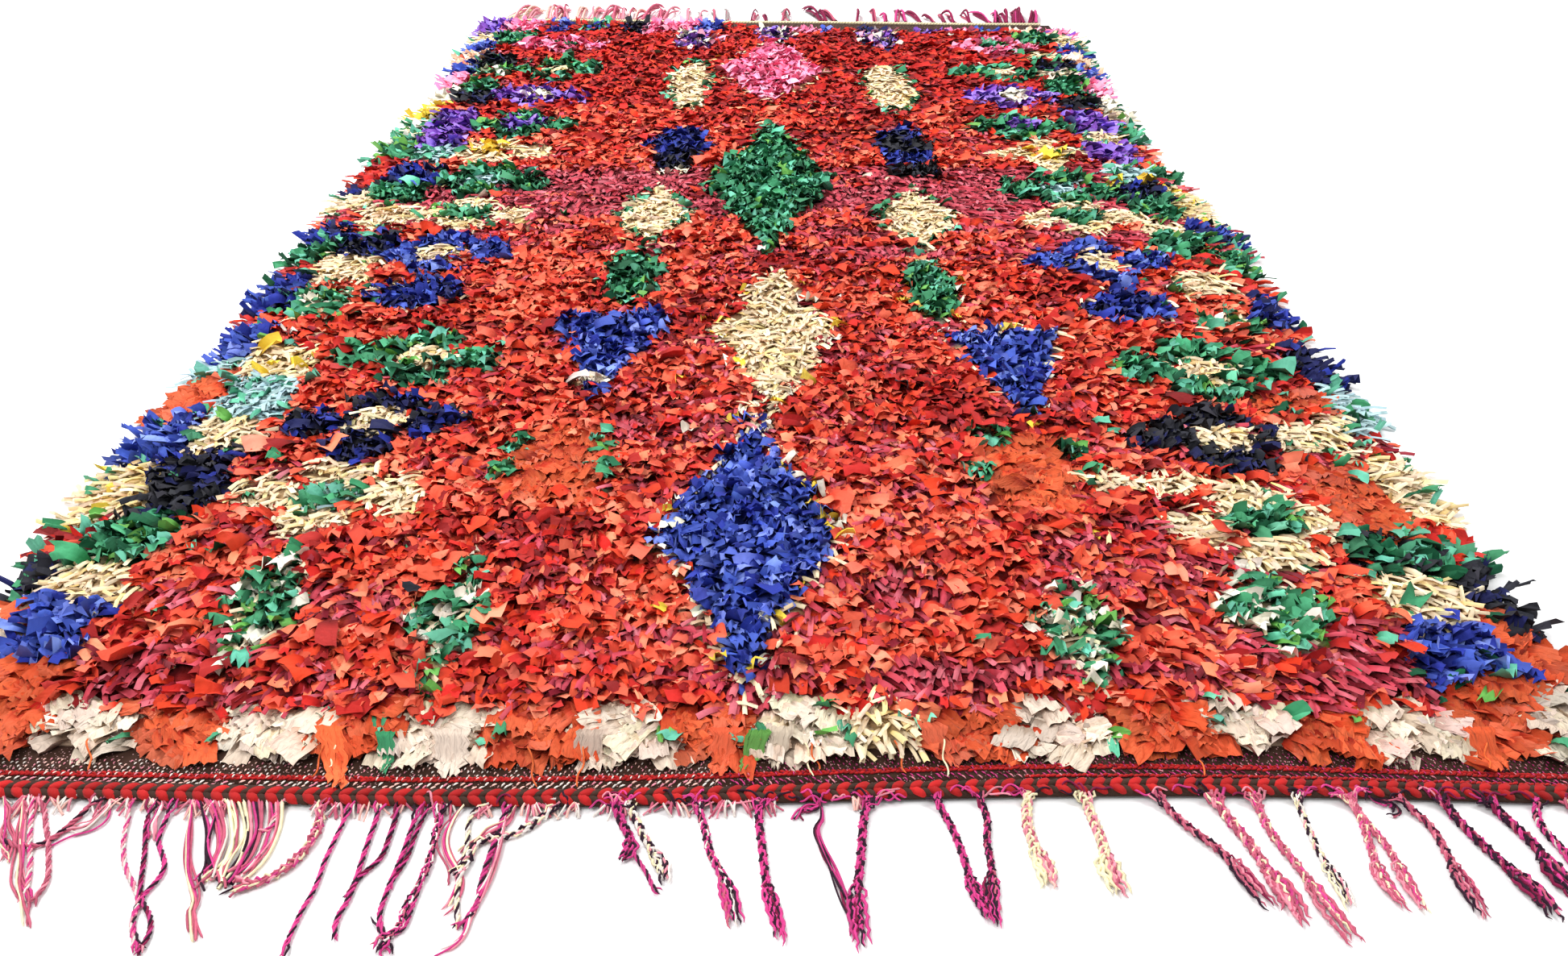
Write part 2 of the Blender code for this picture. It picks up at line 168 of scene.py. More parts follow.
# Motifs of the field. edging is what shows along the outline, and its share and place in half sizes follow
EDGING_SHARE = 0.36
EDGING_REACH = (0.94, 1.12)
MOTIFS = (
    # (shape, mix, edging, X, Y, half width, half length)
    ("diamond", "pink", "cream", 0.005, 0.845, 0.134, 0.270),
    ("diamond", "green", None, 0.006, 0.070, 0.118, 0.350),
    ("block", "cream", None, 0.004, 0.428, 0.012, 0.026),
    ("diamond", "cream", "edge_bits", 0.018, -0.560, 0.088, 0.225),
    ("block", "white", None, 0.008, -0.800, 0.010, 0.034),
    ("diamond", "blue", "edge_bits", -0.010, -1.055, 0.102, 0.240),
    ("oval", "purple_white", None, -0.195, 1.130, 0.055, 0.110),
    ("oval", "purple_white", None, 0.285, 1.175, 0.048, 0.130),
    ("oval", "purple_white", None, 0.020, 1.200, 0.050, 0.090),
    ("oval", "cream", "green", -0.185, 0.730, 0.048, 0.190),
    ("oval", "cream", "green", 0.280, 0.700, 0.056, 0.190),
    ("oval", "deep_blue", None, -0.180, 0.290, 0.062, 0.085),
    ("oval", "black", None, -0.178, 0.195, 0.042, 0.058),
    ("block", "white", None, -0.180, 0.132, 0.030, 0.008),
    ("block", "deep_blue", None, 0.275, 0.345, 0.042, 0.028),
    ("block", "black", None, 0.275, 0.280, 0.054, 0.038),
    ("block", "deep_blue", None, 0.278, 0.208, 0.046, 0.036),
    ("block", "black", None, 0.284, 0.135, 0.044, 0.030),
    ("diamond", "cream", "green", -0.195, -0.100, 0.070, 0.145),
    ("diamond", "cream", "green", 0.268, -0.110, 0.072, 0.155),
    ("oval", "green", None, -0.205, -0.370, 0.042, 0.098),
    ("oval", "green", "edge_bits", 0.260, -0.415, 0.040, 0.105),
    ("triangle", "blue", None, -0.220, -0.635, 0.086, 0.130),
    ("triangle", "blue", "edge_bits", 0.350, -0.690, 0.078, 0.128),
    ("block", "white", None, -0.234, -0.715, 0.020, 0.014),
    ("block", "orange", None, -0.250, -0.905, 0.052, 0.076),
    ("block", "green", None, -0.300, -0.865, 0.010, 0.020),
    ("block", "green", None, -0.312, -0.930, 0.012, 0.022),
    ("block", "green", None, -0.192, -0.860, 0.012, 0.022),
    ("block", "green", None, -0.190, -0.935, 0.010, 0.030),
    ("block", "orange", None, 0.325, -0.930, 0.050, 0.082),
    ("block", "green", None, 0.290, -0.860, 0.020, 0.012),
    ("block", "green", None, 0.264, -0.925, 0.012, 0.022),
    ("block", "green", None, 0.382, -0.880, 0.010, 0.018),
    ("block", "green", None, 0.386, -0.945, 0.012, 0.026),
    ("diamond", "green_white", None, -0.305, -1.195, 0.042, 0.105),
    ("diamond", "green_white", None, 0.322, -1.215, 0.050, 0.082),
    ("diamond", "green_white", None, -0.500, -1.175, 0.054, 0.098),
    ("diamond", "green_white", None, 0.525, -1.190, 0.062, 0.090),
    ("block", "cream", None, 0.455, -0.950, 0.082, 0.017),
    ("oval", "deep_blue", "cream", -0.530, -0.430, 0.074, 0.056),
    ("oval", "deep_blue", "cream", 0.550, -0.480, 0.070, 0.055),
)

# Flowers of both side rows: four petals with a small heart
FLOWERS = (
    # (X, Y, petals, heart)
    (-0.530, 1.080, "pink", "green"),
    (-0.520, 0.850, "green", "cream"),
    (-0.530, 0.630, "purple", "white"),
    (-0.520, 0.420, "green", "purple"),
    (-0.550, 0.250, "cream", "yellow"),
    (-0.530, 0.070, "green", "grey_blue"),
    (-0.530, -0.100, "cream", "green"),
    (-0.540, -0.270, "blue", "cream"),
    (-0.475, -0.640, "green", "cream"),
    (-0.490, -0.820, "navy", "cream"),
    (-0.500, -0.980, "cream", "green_blue"),
    (0.580, 1.060, "pink", "green"),
    (0.550, 0.820, "green", "cream"),
    (0.550, 0.620, "lilac", "white"),
    (0.530, 0.400, "green", "purple"),
    (0.560, 0.230, "cream", "yellow"),
    (0.550, 0.020, "green", "grey_blue"),
    (0.555, -0.120, "cream", "green"),
    (0.540, -0.310, "blue", "cream"),
    (0.600, -0.680, "green", "cream"),
    (0.580, -0.860, "black", "cream"),
    (0.570, -1.040, "cream", "green"),
)
FLOWER_HALF = (0.114, 0.078)
HEART_HALF = (0.042, 0.030)

# Border blocks of each side column, from the far end: each runs down to its lower Y. None is plain field, and
# green bits lie along each seam
SEAM_HALF = 0.008
SEAM_BITS = 0.14
BORDER_COLUMNS = (
    # (X range, blocks)
    (
        (-1.000, -0.712),
        (
            (1.24, "purple"), (1.14, "cream"), (1.02, "blue"), (0.90, "peach"), (0.82, "blue"),
            (0.71, "pink"), (0.60, "white"), (0.46, "yellow"), (0.34, "green_white"), (0.19, "green"),
            (0.04, "deep_red"), (0.01, "navy"), (-0.06, "cream"), (-0.14, None), (-0.23, "deep_blue"),
            (-0.30, "green"), (-0.36, None), (-0.48, "deep_blue"), (-0.54, None), (-0.63, "blue"),
            (-0.68, "grey_blue"), (-0.79, "orange"), (-0.90, "blue"), (-1.03, "cream_yellow"),
            (-1.09, None), (-1.16, "black"), (-1.60, "orange_white"),
        ),
    ),
    (
        (-0.712, -0.622),
        (
            (1.24, "pink"), (1.22, None), (1.09, "green"), (0.97, None), (0.87, "black"),
            (0.86, None), (0.79, "green_white"), (0.74, None), (0.67, "green"), (0.57, "black"),
            (0.51, None), (0.28, "purple"), (0.19, "grey_blue"), (0.14, None), (0.04, "deep_blue"),
            (-0.04, "green"), (-0.06, None), (-0.16, "cream"), (-0.20, None), (-0.28, "navy"),
            (-0.39, "cream"), (-0.42, None), (-0.52, "green_cream"), (-0.59, None), (-0.69, "cream_yellow"),
            (-0.81, "grey_blue"), (-0.89, "cream"), (-0.96, "navy"), (-1.03, "black"), (-1.11, "green"),
            (-1.18, "cream"), (-1.26, "blue"), (-1.60, "orange"),
        ),
    ),
    (
        (0.645, 0.738),
        (
            (1.22, None), (1.09, "green"), (1.02, None), (0.94, "cream"), (0.91, None),
            (0.84, "black"), (0.77, "white"), (0.76, None), (0.64, "green"), (0.62, None),
            (0.51, "black"), (0.49, None), (0.36, "purple"), (0.29, "cream"), (0.16, "purple"),
            (0.14, None), (0.07, "grey_blue"), (0.04, "yellow"), (-0.03, "navy"), (-0.11, "green"),
            (-0.13, None), (-0.20, "cream"), (-0.29, "green"), (-0.36, None), (-0.43, "cream"),
            (-0.50, None), (-0.56, "green_cream"), (-0.74, None), (-0.79, "orange"), (-0.81, None),
            (-0.89, "cream"), (-0.91, None), (-1.06, "orange"), (-1.14, "dark_green"),
            (-1.21, "cream"), (-1.29, "blue"), (-1.60, "orange"),
        ),
    ),
    (
        (0.738, 1.000),
        (
            (1.22, "pink_purple"), (1.07, "cream"), (0.99, "blue"), (0.89, "peach"), (0.87, None),
            (0.77, "blue"), (0.64, "pink"), (0.46, "white"), (0.44, None), (0.32, "green"),
            (0.16, None), (0.09, "green"), (0.04, None), (-0.13, "cream_yellow"), (-0.16, None),
            (-0.24, "deep_blue"), (-0.26, None), (-0.36, "green"), (-0.43, None), (-0.54, "deep_blue"),
            (-0.59, None), (-0.71, "navy"), (-0.83, "grey_blue"), (-0.89, None), (-1.03, "cream"),
            (-1.11, "green_red"), (-1.21, "black"), (-1.28, "orange"), (-1.35, "off_white"),
            (-1.60, "orange"),
        ),
    ),
)

# The far row of blocks, from left to right: each runs on to its higher X
FAR_ROW_Y = 1.255
FAR_ROW = (
    (-0.72, "purple"), (-0.63, "pink"), (-0.60, None), (-0.55, "blue"), (-0.51, None),
    (-0.45, "blue_green"), (-0.40, None), (-0.34, "black"), (-0.20, "pink"), (-0.13, "blue"),
    (-0.04, None), (0.04, "purple_white"), (0.13, "pink"), (0.17, "blue"), (0.25, None),
    (0.32, "navy"), (0.37, "cream"), (0.40, None), (0.47, "purple"), (0.55, "pink"),
    (0.63, "blue"), (0.72, "peach"), (1.00, "pink"),
)

# The near row: off-white squares on orange, with green bits where they meet
NEAR_ROW_Y = -1.318
NEAR_SEAM_HALF = 0.010
NEAR_SEAM_BITS = 0.16
NEAR_SQUARES = (
    # (left X, right X, mix)
    (-0.820, -0.740, "off_white"),
    (-0.650, -0.568, "off_white"),
    (-0.482, -0.402, "off_white"),
    (-0.330, -0.240, "off_white"),
    (-0.155, -0.066, "off_white"),
    (0.004, 0.084, "off_white"),
    (0.084, 0.150, "cream"),
    (0.246, 0.326, "off_white"),
    (0.420, 0.496, "off_white"),
    (0.566, 0.640, "off_white"),
    (0.724, 0.800, "off_white"),
)

# Stretches of the rug's length, whose rags differ in how fine they are
ZONES = (
    # (name, lower Y, upper Y, how far rags stand up, how much lighter the painted shade at their roots is)
    ("near", -1.60, -0.70, 1.0, 0.0),
    ("middle", -0.70, 0.20, 0.92, 0.04),
    ("far", 0.20, 1.60, 0.56, 0.26),
)

# How each cloth is cut and how it lies. Angles are in degrees from level, at the root and at the tip. slim is
# how much narrower a rag is at the rug's sides. shade is the share of its tint that a rag keeps at its root
# under the painted shade there.
# Each stretch has (pitch across, pitch along, quads across, quads along, scale)
CLOTHS = {
    "cotton": dict(
        near=(0.0120, 0.0069, 3, 4, 1.00),
        middle=(0.0124, 0.0077, 3, 3, 1.00),
        far=(0.0146, 0.0096, 2, 3, 1.05),
        width=(0.007, 0.023), length=(0.016, 0.029), rise=(34, 70), fall=(-40, 12), spread=46, slim=0.30,
        cup=0.30, ruffle=0.26, crumple=0.0008, torn=0.13, twist=32, big=0.022, waves=(0.35, 0.8), shade=0.52,
    ),
    "jersey": dict(
        near=(0.0056, 0.0094, 2, 3, 1.00),
        middle=(0.0066, 0.0120, 2, 3, 1.05),
        far=(0.0080, 0.0130, 1, 3, 1.15),
        width=(0.0052, 0.0086), length=(0.020, 0.033), rise=(22, 48), fall=(-28, 4), spread=36, slim=0.30,
        cup=-0.90, ruffle=0.03, crumple=0.0002, torn=0.0, twist=16, big=0.0, waves=(0.35, 0.8), shade=0.68,
    ),
    "noodle": dict(
        near=(0.0054, 0.0092, 2, 3, 1.00),
        middle=(0.0062, 0.0106, 2, 3, 1.05),
        far=(0.0074, 0.0122, 1, 3, 1.15),
        width=(0.0042, 0.0068), length=(0.023, 0.036), rise=(18, 50), fall=(-28, 8), spread=46, slim=-0.20,
        cup=-0.90, ruffle=0.08, crumple=0.0003, torn=0.0, twist=30, big=0.0, waves=(0.35, 0.8), shade=0.90,
    ),
    "ruffle": dict(
        near=(0.0125, 0.0076, 4, 4, 1.00),
        middle=(0.0130, 0.0084, 3, 3, 1.05),
        far=(0.0140, 0.0096, 2, 3, 1.10),
        width=(0.008, 0.023), length=(0.017, 0.030), rise=(42, 80), fall=(-28, 38), spread=48, slim=0.30,
        cup=0.42, ruffle=0.38, crumple=0.0008, torn=0.12, twist=34, big=0.02, waves=(0.45, 1.0), shade=0.52,
    ),
    "crumple": dict(
        near=(0.0150, 0.0094, 8, 4, 1.00),
        middle=(0.0155, 0.0100, 7, 3, 1.00),
        far=(0.0160, 0.0112, 4, 3, 1.00),
        width=(0.023, 0.044), length=(0.022, 0.036), rise=(10, 26), fall=(-18, 2), spread=52, slim=0.30,
        cup=0.05, ruffle=0.095, crumple=0.0019, torn=0.08, twist=9, big=0.0, waves=(1.2, 2.2), shade=0.72,
    ),
}
# Depth of the roots under the pile's top
ROOT_DEPTH = 0.0105
# Rags that hang from the near row: (root X, in from the end, tip X, in from the end, width, colour)
HANGING_RAGS = (
    (-0.382, 0.074, -0.362, 0.010, 0.030, "orange"),
    (-0.330, 0.068, -0.326, 0.031, 0.018, "green"),
    (-0.272, 0.072, -0.268, 0.028, 0.040, "off_white"),
    (-0.145, 0.072, -0.150, 0.034, 0.030, "off_white"),
    (-0.024, 0.072, -0.030, 0.027, 0.030, "orange"),
    (0.006, 0.068, -0.006, 0.029, 0.024, "leaf_green"),
    (0.026, 0.072, 0.020, 0.032, 0.026, "off_white"),
    (0.160, 0.072, 0.178, 0.028, 0.030, "orange"),
    (0.655, 0.070, 0.668, 0.030, 0.030, "orange"),
)
HANGING_GRID = (13, 9)

# Where rags are knotted: within half the box's size, past the bare bands, and fanned out at the sides and far
# end. The bands' depths and the far rags' lift run from one X to another. No rag goes below LOWEST, and tips
# above SOFT_TOP are pressed down to SOFT_ROOM above it at most
ROOT_BOX = (0.87, 1.44)
END_REACH = 0.76
NEAR_BAND = ((-0.12, 0.04), (0.070, 0.062))
FAR_BAND = ((-0.10, 0.05), (0.058, 0.078))
FAR_LIFT = ((-0.10, 0.05), (0.008, -0.008))
RAG_OVERHANG = 0.012
SIDE_FAN = 0.075
FAR_FAN = 0.050
BIG_SCALE = 1.55
LOWEST = 0.0008
SOFT_TOP = 0.036
SOFT_ROOM = 0.0115

# The layer of knots under the rags. The Y of its ends is for straight ones, which the shifts fit to the slant
RIM_TOP = 0.012
BED_DEPTH = 0.0110
BED_CELL = 0.016
BED_ENDS = (-1.37, 1.32)
BED_WIDTH = 1.56
BED_SHIFTS = (1.431, -1.421)
BED_LOWEST = 0.0045

# Ground weave and its end bands. Heights are up from the floor, and the red line lies in from the near end
SHEET_FLAT = (1.53, 2.81)
SHEET_CELL = 0.040
SHEET_TOP = 0.0034
SHEET_FOOT = 0.0006
SHEET_END = 1.42
SIDE_START = 0.72
RIB_PITCH = 0.0024
SLANT_FROM = 1.1
FLECK_REACH = 0.755
FLECK_SHARE = 0.90
FLECK_ROWS = (
    # (distance in from the red line, pitch, length, width, lean in degrees)
    (-0.0095, 0.0072, 0.0062, 0.0020, 48),
    (-0.0058, 0.0072, 0.0056, 0.0020, 48),
    (0.0000, 0.0080, 0.0046, 0.0016, 66),
    (0.0044, 0.0062, 0.0034, 0.0016, 66),
    (0.0086, 0.0062, 0.0032, 0.0016, 66),
    (0.0128, 0.0062, 0.0032, 0.0015, 66),
    (0.0168, 0.0062, 0.0032, 0.0015, 66),
)
RED_WEFT = ((-0.76, -0.52, -0.06, 0.12, 0.26, 0.70), (0.0270, 0.0280, 0.0325, 0.0340, 0.0350, 0.0315))
WEFT_REACH = 0.757
WEFT_PITCH = 0.0046
WEFT_LINES = (
    # (first X, distance in from the red line)
    (-WEFT_REACH, -0.0013),
    (-WEFT_REACH, 0.0013),
    (0.24, -0.0105),
)
MAGENTA_FROM = -0.03
THREAD_ROOTS = (-0.60, -0.385, -0.375, -0.20, -0.150, 0.048, 0.052, 0.130, 0.172, 0.40, 0.55, 0.66)

# Twined edge: a bar with chevrons of plump wool, each pair red and brown, pointing to -X
CHEVRON_PAIR = 0.0160
CHEVRON_ROWS = (
    # (root in from the edge, tip in from the edge, height of the tip)
    (0.0086, 0.0168, 0.0050),
    (0.0100, 0.0016, 0.0036),
)
CHEVRON_SHIFT = ((-0.45, 0.05), (-0.0022, 0.0006))
CHEVRONS_FROM, CHEVRONS_TO = -0.758, 0.756
TWINE_DEPTH = 0.020
TWINE_REACH = 0.763
TWINE_LEVEL = 0.0038
LEAF_WIDTH = 0.0080

# Yarn colours as they look, and the six yarns that a lock takes in turn
YARNS = {
    "magenta": (206, 62, 132),
    "dark_magenta": (128, 24, 66),
    "dusty": (192, 92, 116),
    "rosy": (226, 140, 156),
    "blush": (240, 190, 178),
    "cream": (238, 226, 186),
    "white": (232, 222, 214),
    "black": (44, 20, 38),
    "brown": (58, 37, 28),
    "red": (172, 30, 30),
    "orange": (232, 110, 56),
    "grey": (150, 140, 138),
}
YARN_SETS = {
    "dusty": ("dusty", "dusty", "rosy", "cream", "dusty", "magenta"),
    "dusty_black": ("dusty", "dusty", "black", "rosy", "dusty", "dark_magenta"),
    "magenta": ("magenta", "black", "magenta", "dark_magenta", "black", "magenta"),
    "dark": ("black", "magenta", "dark_magenta", "black", "black", "dusty"),
    "mixed": ("magenta", "black", "magenta", "white", "dusty", "black"),
    "black_white": ("white", "black", "cream", "white", "black", "rosy"),
    "pale": ("rosy", "magenta", "white", "dusty", "rosy", "white"),
    "blush": ("cream", "rosy", "cream", "blush", "cream", "dusty"),
}

# Warp ends beyond the near edge, from left to right, and the places on the floor that each one runs through
NEAR_LOCKS = (
    # (lay, yarn set, width, X at the edge, further places), all in millimetres
    ("tassel", "dusty", 10, -745, (-735, -1480), (-722, -1545)),
    ("twist", "magenta", 6, -705, (-700, -1480), (-690, -1540)),
    ("tassel", "dusty", 10, -680, (-662, -1470), (-650, -1530)),
    ("loose", "dusty", 12, -650, (-630, -1461), (-614, -1490)),
    ("loose", "dusty", 8, -633, (-612, -1461), (-593, -1501), (-577, -1521), (-564, -1548)),
    ("twist", "pale", 6, -626, (-598, -1474), (-585, -1502), (-575, -1521)),
    ("twist", "dusty", 6, -616, (-600, -1444), (-585, -1467), (-570, -1501), (-574, -1525)),
    ("twist", "dusty_black", 7, -567, (-587, -1461), (-607, -1469), (-628, -1462), (-654, -1452)),
    ("loose", "pale", 9, -555, (-560, -1445), (-590, -1455)),
    ("twist", "pale", 6, -536, (-527, -1456), (-512, -1489), (-487, -1521), (-481, -1543), (-465, -1571)),
    ("twist", "dark", 6, -518, (-513, -1448), (-501, -1477), (-487, -1515), (-469, -1541), (-463, -1571)),
    ("loose", "pale", 6, -510, (-507, -1444), (-503, -1469)),
    ("twist", "magenta", 6, -499, (-497, -1458), (-480, -1490), (-485, -1519), (-481, -1541),
     (-467, -1567)),
    ("loose", "dusty", 6, -485, (-466, -1477), (-443, -1521), (-442, -1531), (-427, -1558)),
    ("loose", "dark", 6, -462, (-452, -1470), (-432, -1500), (-414, -1506), (-425, -1516)),
    ("twist", "pale", 6, -407, (-407, -1444), (-412, -1454)),
    ("braid", "dusty", 10, -371, (-366, -1456), (-374, -1484), (-392, -1501), (-418, -1509)),
    ("twist", "mixed", 5.5, -345, (-350, -1477), (-349, -1509), (-353, -1536), (-357, -1573)),
    ("twist", "mixed", 6, -319, (-320, -1472), (-320, -1519), (-322, -1535), (-321, -1558)),
    ("twist", "dark", 6, -303, (-304, -1458), (-305, -1481), (-317, -1502), (-320, -1520)),
    ("twist", "magenta", 6, -286, (-288, -1475), (-291, -1506), (-290, -1535), (-282, -1551),
     (-273, -1571)),
    ("twist", "dark", 5, -279, (-282, -1458), (-285, -1489), (-290, -1510)),
    ("braid", "mixed", 8, -267, (-264, -1481), (-271, -1531), (-270, -1545), (-287, -1568)),
    ("twist", "magenta", 5, -262, (-266, -1512), (-268, -1548), (-284, -1552), (-291, -1535)),
    ("loose", "dusty", 7, -247, (-256, -1444), (-256, -1465), (-238, -1500), (-238, -1523), (-244, -1532)),
    ("twist", "black_white", 6, -226, (-240, -1438), (-236, -1472), (-235, -1497), (-233, -1523),
     (-228, -1548)),
    ("twist", "mixed", 7, -211, (-214, -1469), (-216, -1506), (-218, -1527), (-227, -1548)),
    ("loose", "pale", 5, -209, (-210, -1489), (-218, -1532), (-222, -1556), (-240, -1571)),
    ("loose", "dusty", 9, -202, (-208, -1444), (-224, -1458), (-238, -1478), (-242, -1496)),
    ("braid", "black_white", 9, -165, (-177, -1437), (-197, -1454), (-226, -1464), (-231, -1485),
     (-241, -1500)),
    ("tassel", "magenta", 8, -118, (-109, -1444), (-102, -1458), (-102, -1472), (-107, -1487)),
    ("twist", "magenta", 5, -113, (-99, -1469), (-84, -1493), (-78, -1508), (-71, -1514)),
    ("tassel", "black_white", 8, -106, (-83, -1469), (-74, -1485), (-67, -1509)),
    ("tassel", "mixed", 8, -48, (-38, -1452), (-32, -1476), (-15, -1519), (-7, -1549)),
    ("tassel", "magenta", 8.5, 9, (7, -1442), (11, -1479), (19, -1531), (24, -1566)),
    ("loose", "magenta", 10, 59, (56, -1426), (44, -1430), (42, -1440)),
    ("loose", "magenta", 6, 60, (61, -1439), (56, -1455), (69, -1496), (82, -1536), (79, -1558)),
    ("tassel", "magenta", 9, 105, (96, -1442), (89, -1505), (86, -1536), (84, -1570)),
    ("tassel", "magenta", 8, 158, (169, -1444), (175, -1474), (181, -1505), (194, -1556)),
    ("tassel", "dark", 7.5, 195, (202, -1439), (198, -1467), (197, -1497), (193, -1551)),
    ("tassel", "blush", 10.5, 240, (236, -1444), (238, -1471), (242, -1514)),
    ("tassel", "blush", 10.5, 289, (292, -1440), (294, -1474), (298, -1521)),
    ("tassel", "dusty_black", 9, 350, (371, -1448), (388, -1471), (403, -1500), (416, -1531)),
    ("tassel", "dusty", 11.5, 400, (409, -1444), (419, -1471), (425, -1496), (435, -1548)),
    ("tassel", "dusty", 9.5, 437, (439, -1456), (450, -1493), (459, -1524), (468, -1567)),
    ("tassel", "black_white", 7, 473, (472, -1448), (473, -1478), (477, -1514), (478, -1537)),
    ("tassel", "dusty", 8, 517, (521, -1440), (516, -1470), (514, -1500), (520, -1537)),
    ("tassel", "dusty", 8, 519, (523, -1440), (532, -1474), (531, -1510), (534, -1537)),
    ("loose", "dark", 8, 536, (556, -1424), (552, -1434), (545, -1436)),
    ("tassel", "dusty_black", 8.5, 558, (575, -1444), (578, -1478), (578, -1510), (577, -1541)),
    ("tassel", "dark", 10.5, 596, (606, -1451), (621, -1489), (630, -1515), (632, -1544)),
    ("tassel", "dark", 10.5, 636, (645, -1440), (656, -1478), (662, -1521)),
    ("tassel", "mixed", 8, 680, (671, -1444), (677, -1478), (683, -1510)),
    ("tassel", "dusty", 10, 708, (712, -1475), (722, -1540)),
    ("tassel", "magenta", 10, 738, (740, -1475), (746, -1535)),
)

# Yarns in a lock of each lay, and the share of its length from which a braid or tassel opens
YARN_COUNTS = {"braid": 6, "tassel": 9, "twist": 3, "loose": 7}
TAILS = {"braid": 0.90, "tassel": 0.58}
ROOT_IN = 0.002
NEAR_YARN_POINTS = 34
BRAID_PITCH = 0.021
PLY_PITCH = 0.013

# Finer warp ends of the near edge: a curtain that gathers in a tangle, stubs, and threads round the edge
CURTAIN = (-0.480, -0.405)
CURTAIN_COUNT = 26
TANGLE = (-0.446, -1.506)
TANGLE_WIDTH = 0.036
STUB_COUNT = 300
STUB_REACH = (-0.756, 0.2)
WRAP_COUNT = 100
WRAP_REACH = 0.755

# Warp ends beyond the far cord: (left X, right X, clumps, strands in each, yarns, lean of X along Y)
FAR_LOCKS = (
    (-0.76, -0.67, 4, 4, ("rosy", "blush", "cream", "blush"), 0.30),
    (-0.64, -0.38, 17, 3, ("rosy", "rosy", "dusty", "blush"), 0.04),
    (-0.37, -0.29, 4, 4, ("rosy", "dusty", "rosy", "dusty"), 0.22),
    (-0.27, -0.09, 4, 3, ("rosy", "grey", "grey", "dusty"), 0.00),
    (-0.07, 0.08, 4, 3, ("dark_magenta", "dusty", "grey"), -0.10),
    (0.13, 0.19, 3, 5, ("dark_magenta", "dark_magenta", "black", "dusty"), -0.25),
    (0.23, 0.58, 10, 3, ("dark_magenta", "magenta", "dark_magenta", "dusty"), -0.05),
    (0.61, 0.75, 9, 5, ("dark_magenta", "dark_magenta", "magenta", "dark_magenta"), 0.04),
)
FAR_LOCK_REACH = (0.095, 0.180)
FAR_LOCK_LIMIT = 0.79
FAR_CORD_REACH = 0.757
FAR_CORD_PITCH = 0.017
FAR_CORD_RADIUS = 0.0026


def camera():
    """The photograph's view: from near the floor beyond the near end, looking down along the rug."""
    data = bpy.data.cameras.new("camera")
    data.sensor_width = SENSOR
    data.lens = FOCAL_PX / PHOTO_WIDTH * SENSOR
    data.shift_x = AXIS_OFFSET_PX / PHOTO_WIDTH
    data.clip_start = 0.05
    data.clip_end = 60.0
    made = bpy.data.objects.new("camera", data)
    made.location = CAMERA_PLACE
    made.rotation_euler = (math.radians(90 - CAMERA_PITCH), 0, 0)
    bpy.context.scene.collection.objects.link(made)
    bpy.context.scene.camera = made


def lights():
    """Soft white light from all round, and three soft boxes."""
    world = bpy.data.worlds.new("studio")
    world.use_nodes = True
    sky = world.node_tree.nodes["Background"]
    sky.inputs["Color"].default_value = (1, 1, 1, 1)
    sky.inputs["Strength"].default_value = SKY_STRENGTH
    bpy.context.scene.world = world
    for number, (place, size, watts) in enumerate(KEY_LIGHTS):
        data = bpy.data.lights.new(f"softbox_{number}", "AREA")
        data.size = size
        data.energy = watts
        made = bpy.data.objects.new(f"softbox_{number}", data)
        made.location = place
        made.rotation_euler = (-Vector(place)).to_track_quat("-Z", "Y").to_euler()
        bpy.context.scene.collection.objects.link(made)
    bpy.context.scene.view_settings.view_transform = "Standard"


def floor():
    """The plain pale floor, as wide as the picture needs."""
    bpy.ops.mesh.primitive_plane_add(size=FLOOR_SIZE)
    made = bpy.context.object
    made.name = "floor"
    material = bpy.data.materials.new("floor")
    material.use_nodes = True
    shader = material.node_tree.nodes["Principled BSDF"]
    shader.inputs["Base Color"].default_value = (*FLOOR_COLOUR, 1)
    shader.inputs["Roughness"].default_value = 0.9
    made.data.materials.append(material)


def linear(rgb):
    """Linear light of colours given as they look, 0 to 255."""
    share = np.asarray(rgb, float) / 255
    return np.where(share <= 0.04045, share / 12.92, ((share + 0.055) / 1.055) ** 2.4)


def smooth(value):
    """A share from 0 to 1 that starts and stops gently."""
    share = np.clip(value, 0, 1)
    return share * share * (3 - 2 * share)


def steps(count):
    """Even shares from 0 to 1 along each strand, laid out as (1, count, 1)."""
    return np.linspace(0, 1, count)[None, :, None]


def per_strand(draw, count, low=0, high=1):
    """One drawn value for each strand, laid out as (count, 1, 1)."""
    return draw.uniform(low, high, (count, 1, 1))


def spots(x, y, z):
    """Points from their coordinates, any of which may be one value for all."""
    return np.stack(np.broadcast_arrays(x, y, z), -1)


def blotches(x, y, cell, seed):
    """Smooth values from -1 to 1 that wander over cells of the given (X, Y) size."""
    lattice = np.random.default_rng(seed).uniform(-1, 1, (256, 256))
    u, v = x / cell[0] + 128, y / cell[1] + 128
    i, j = np.floor(u).astype(int), np.floor(v).astype(int)
    fu, fv = smooth(u - i), smooth(v - j)
    i, j = i % 255, j % 255
    low = lattice[i, j] * (1 - fu) + lattice[i + 1, j] * fu
    high = lattice[i, j + 1] * (1 - fu) + lattice[i + 1, j + 1] * fu
    return low * (1 - fv) + high * fv


def node_points(name):
    """The corners of one of the rug's solids."""
    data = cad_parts[name].data
    points = np.empty(len(data.vertices) * 3, np.float32)
    data.vertices.foreach_get("co", points)
    return points.reshape(-1, 3)


def outer_foot(name, keep):
    """X and Y of the foot of an end node's outer side."""
    points = node_points(name)
    foot = points[points[:, 2] < TINY]
    across = np.unique(np.round(foot[:, 0], 4))
    along = [keep(foot[np.abs(foot[:, 0] - x) < 2 * TINY, 1]) for x in across]
    return across, np.array(along)


def side_edge(side):
    """Corners of the ground weave along one side, from the near end to the far end."""
    corners = node_points("ground_weave")
    edge = corners[side * corners[:, 0] > SIDE_START]
    return edge[np.argsort(edge[:, 1])]


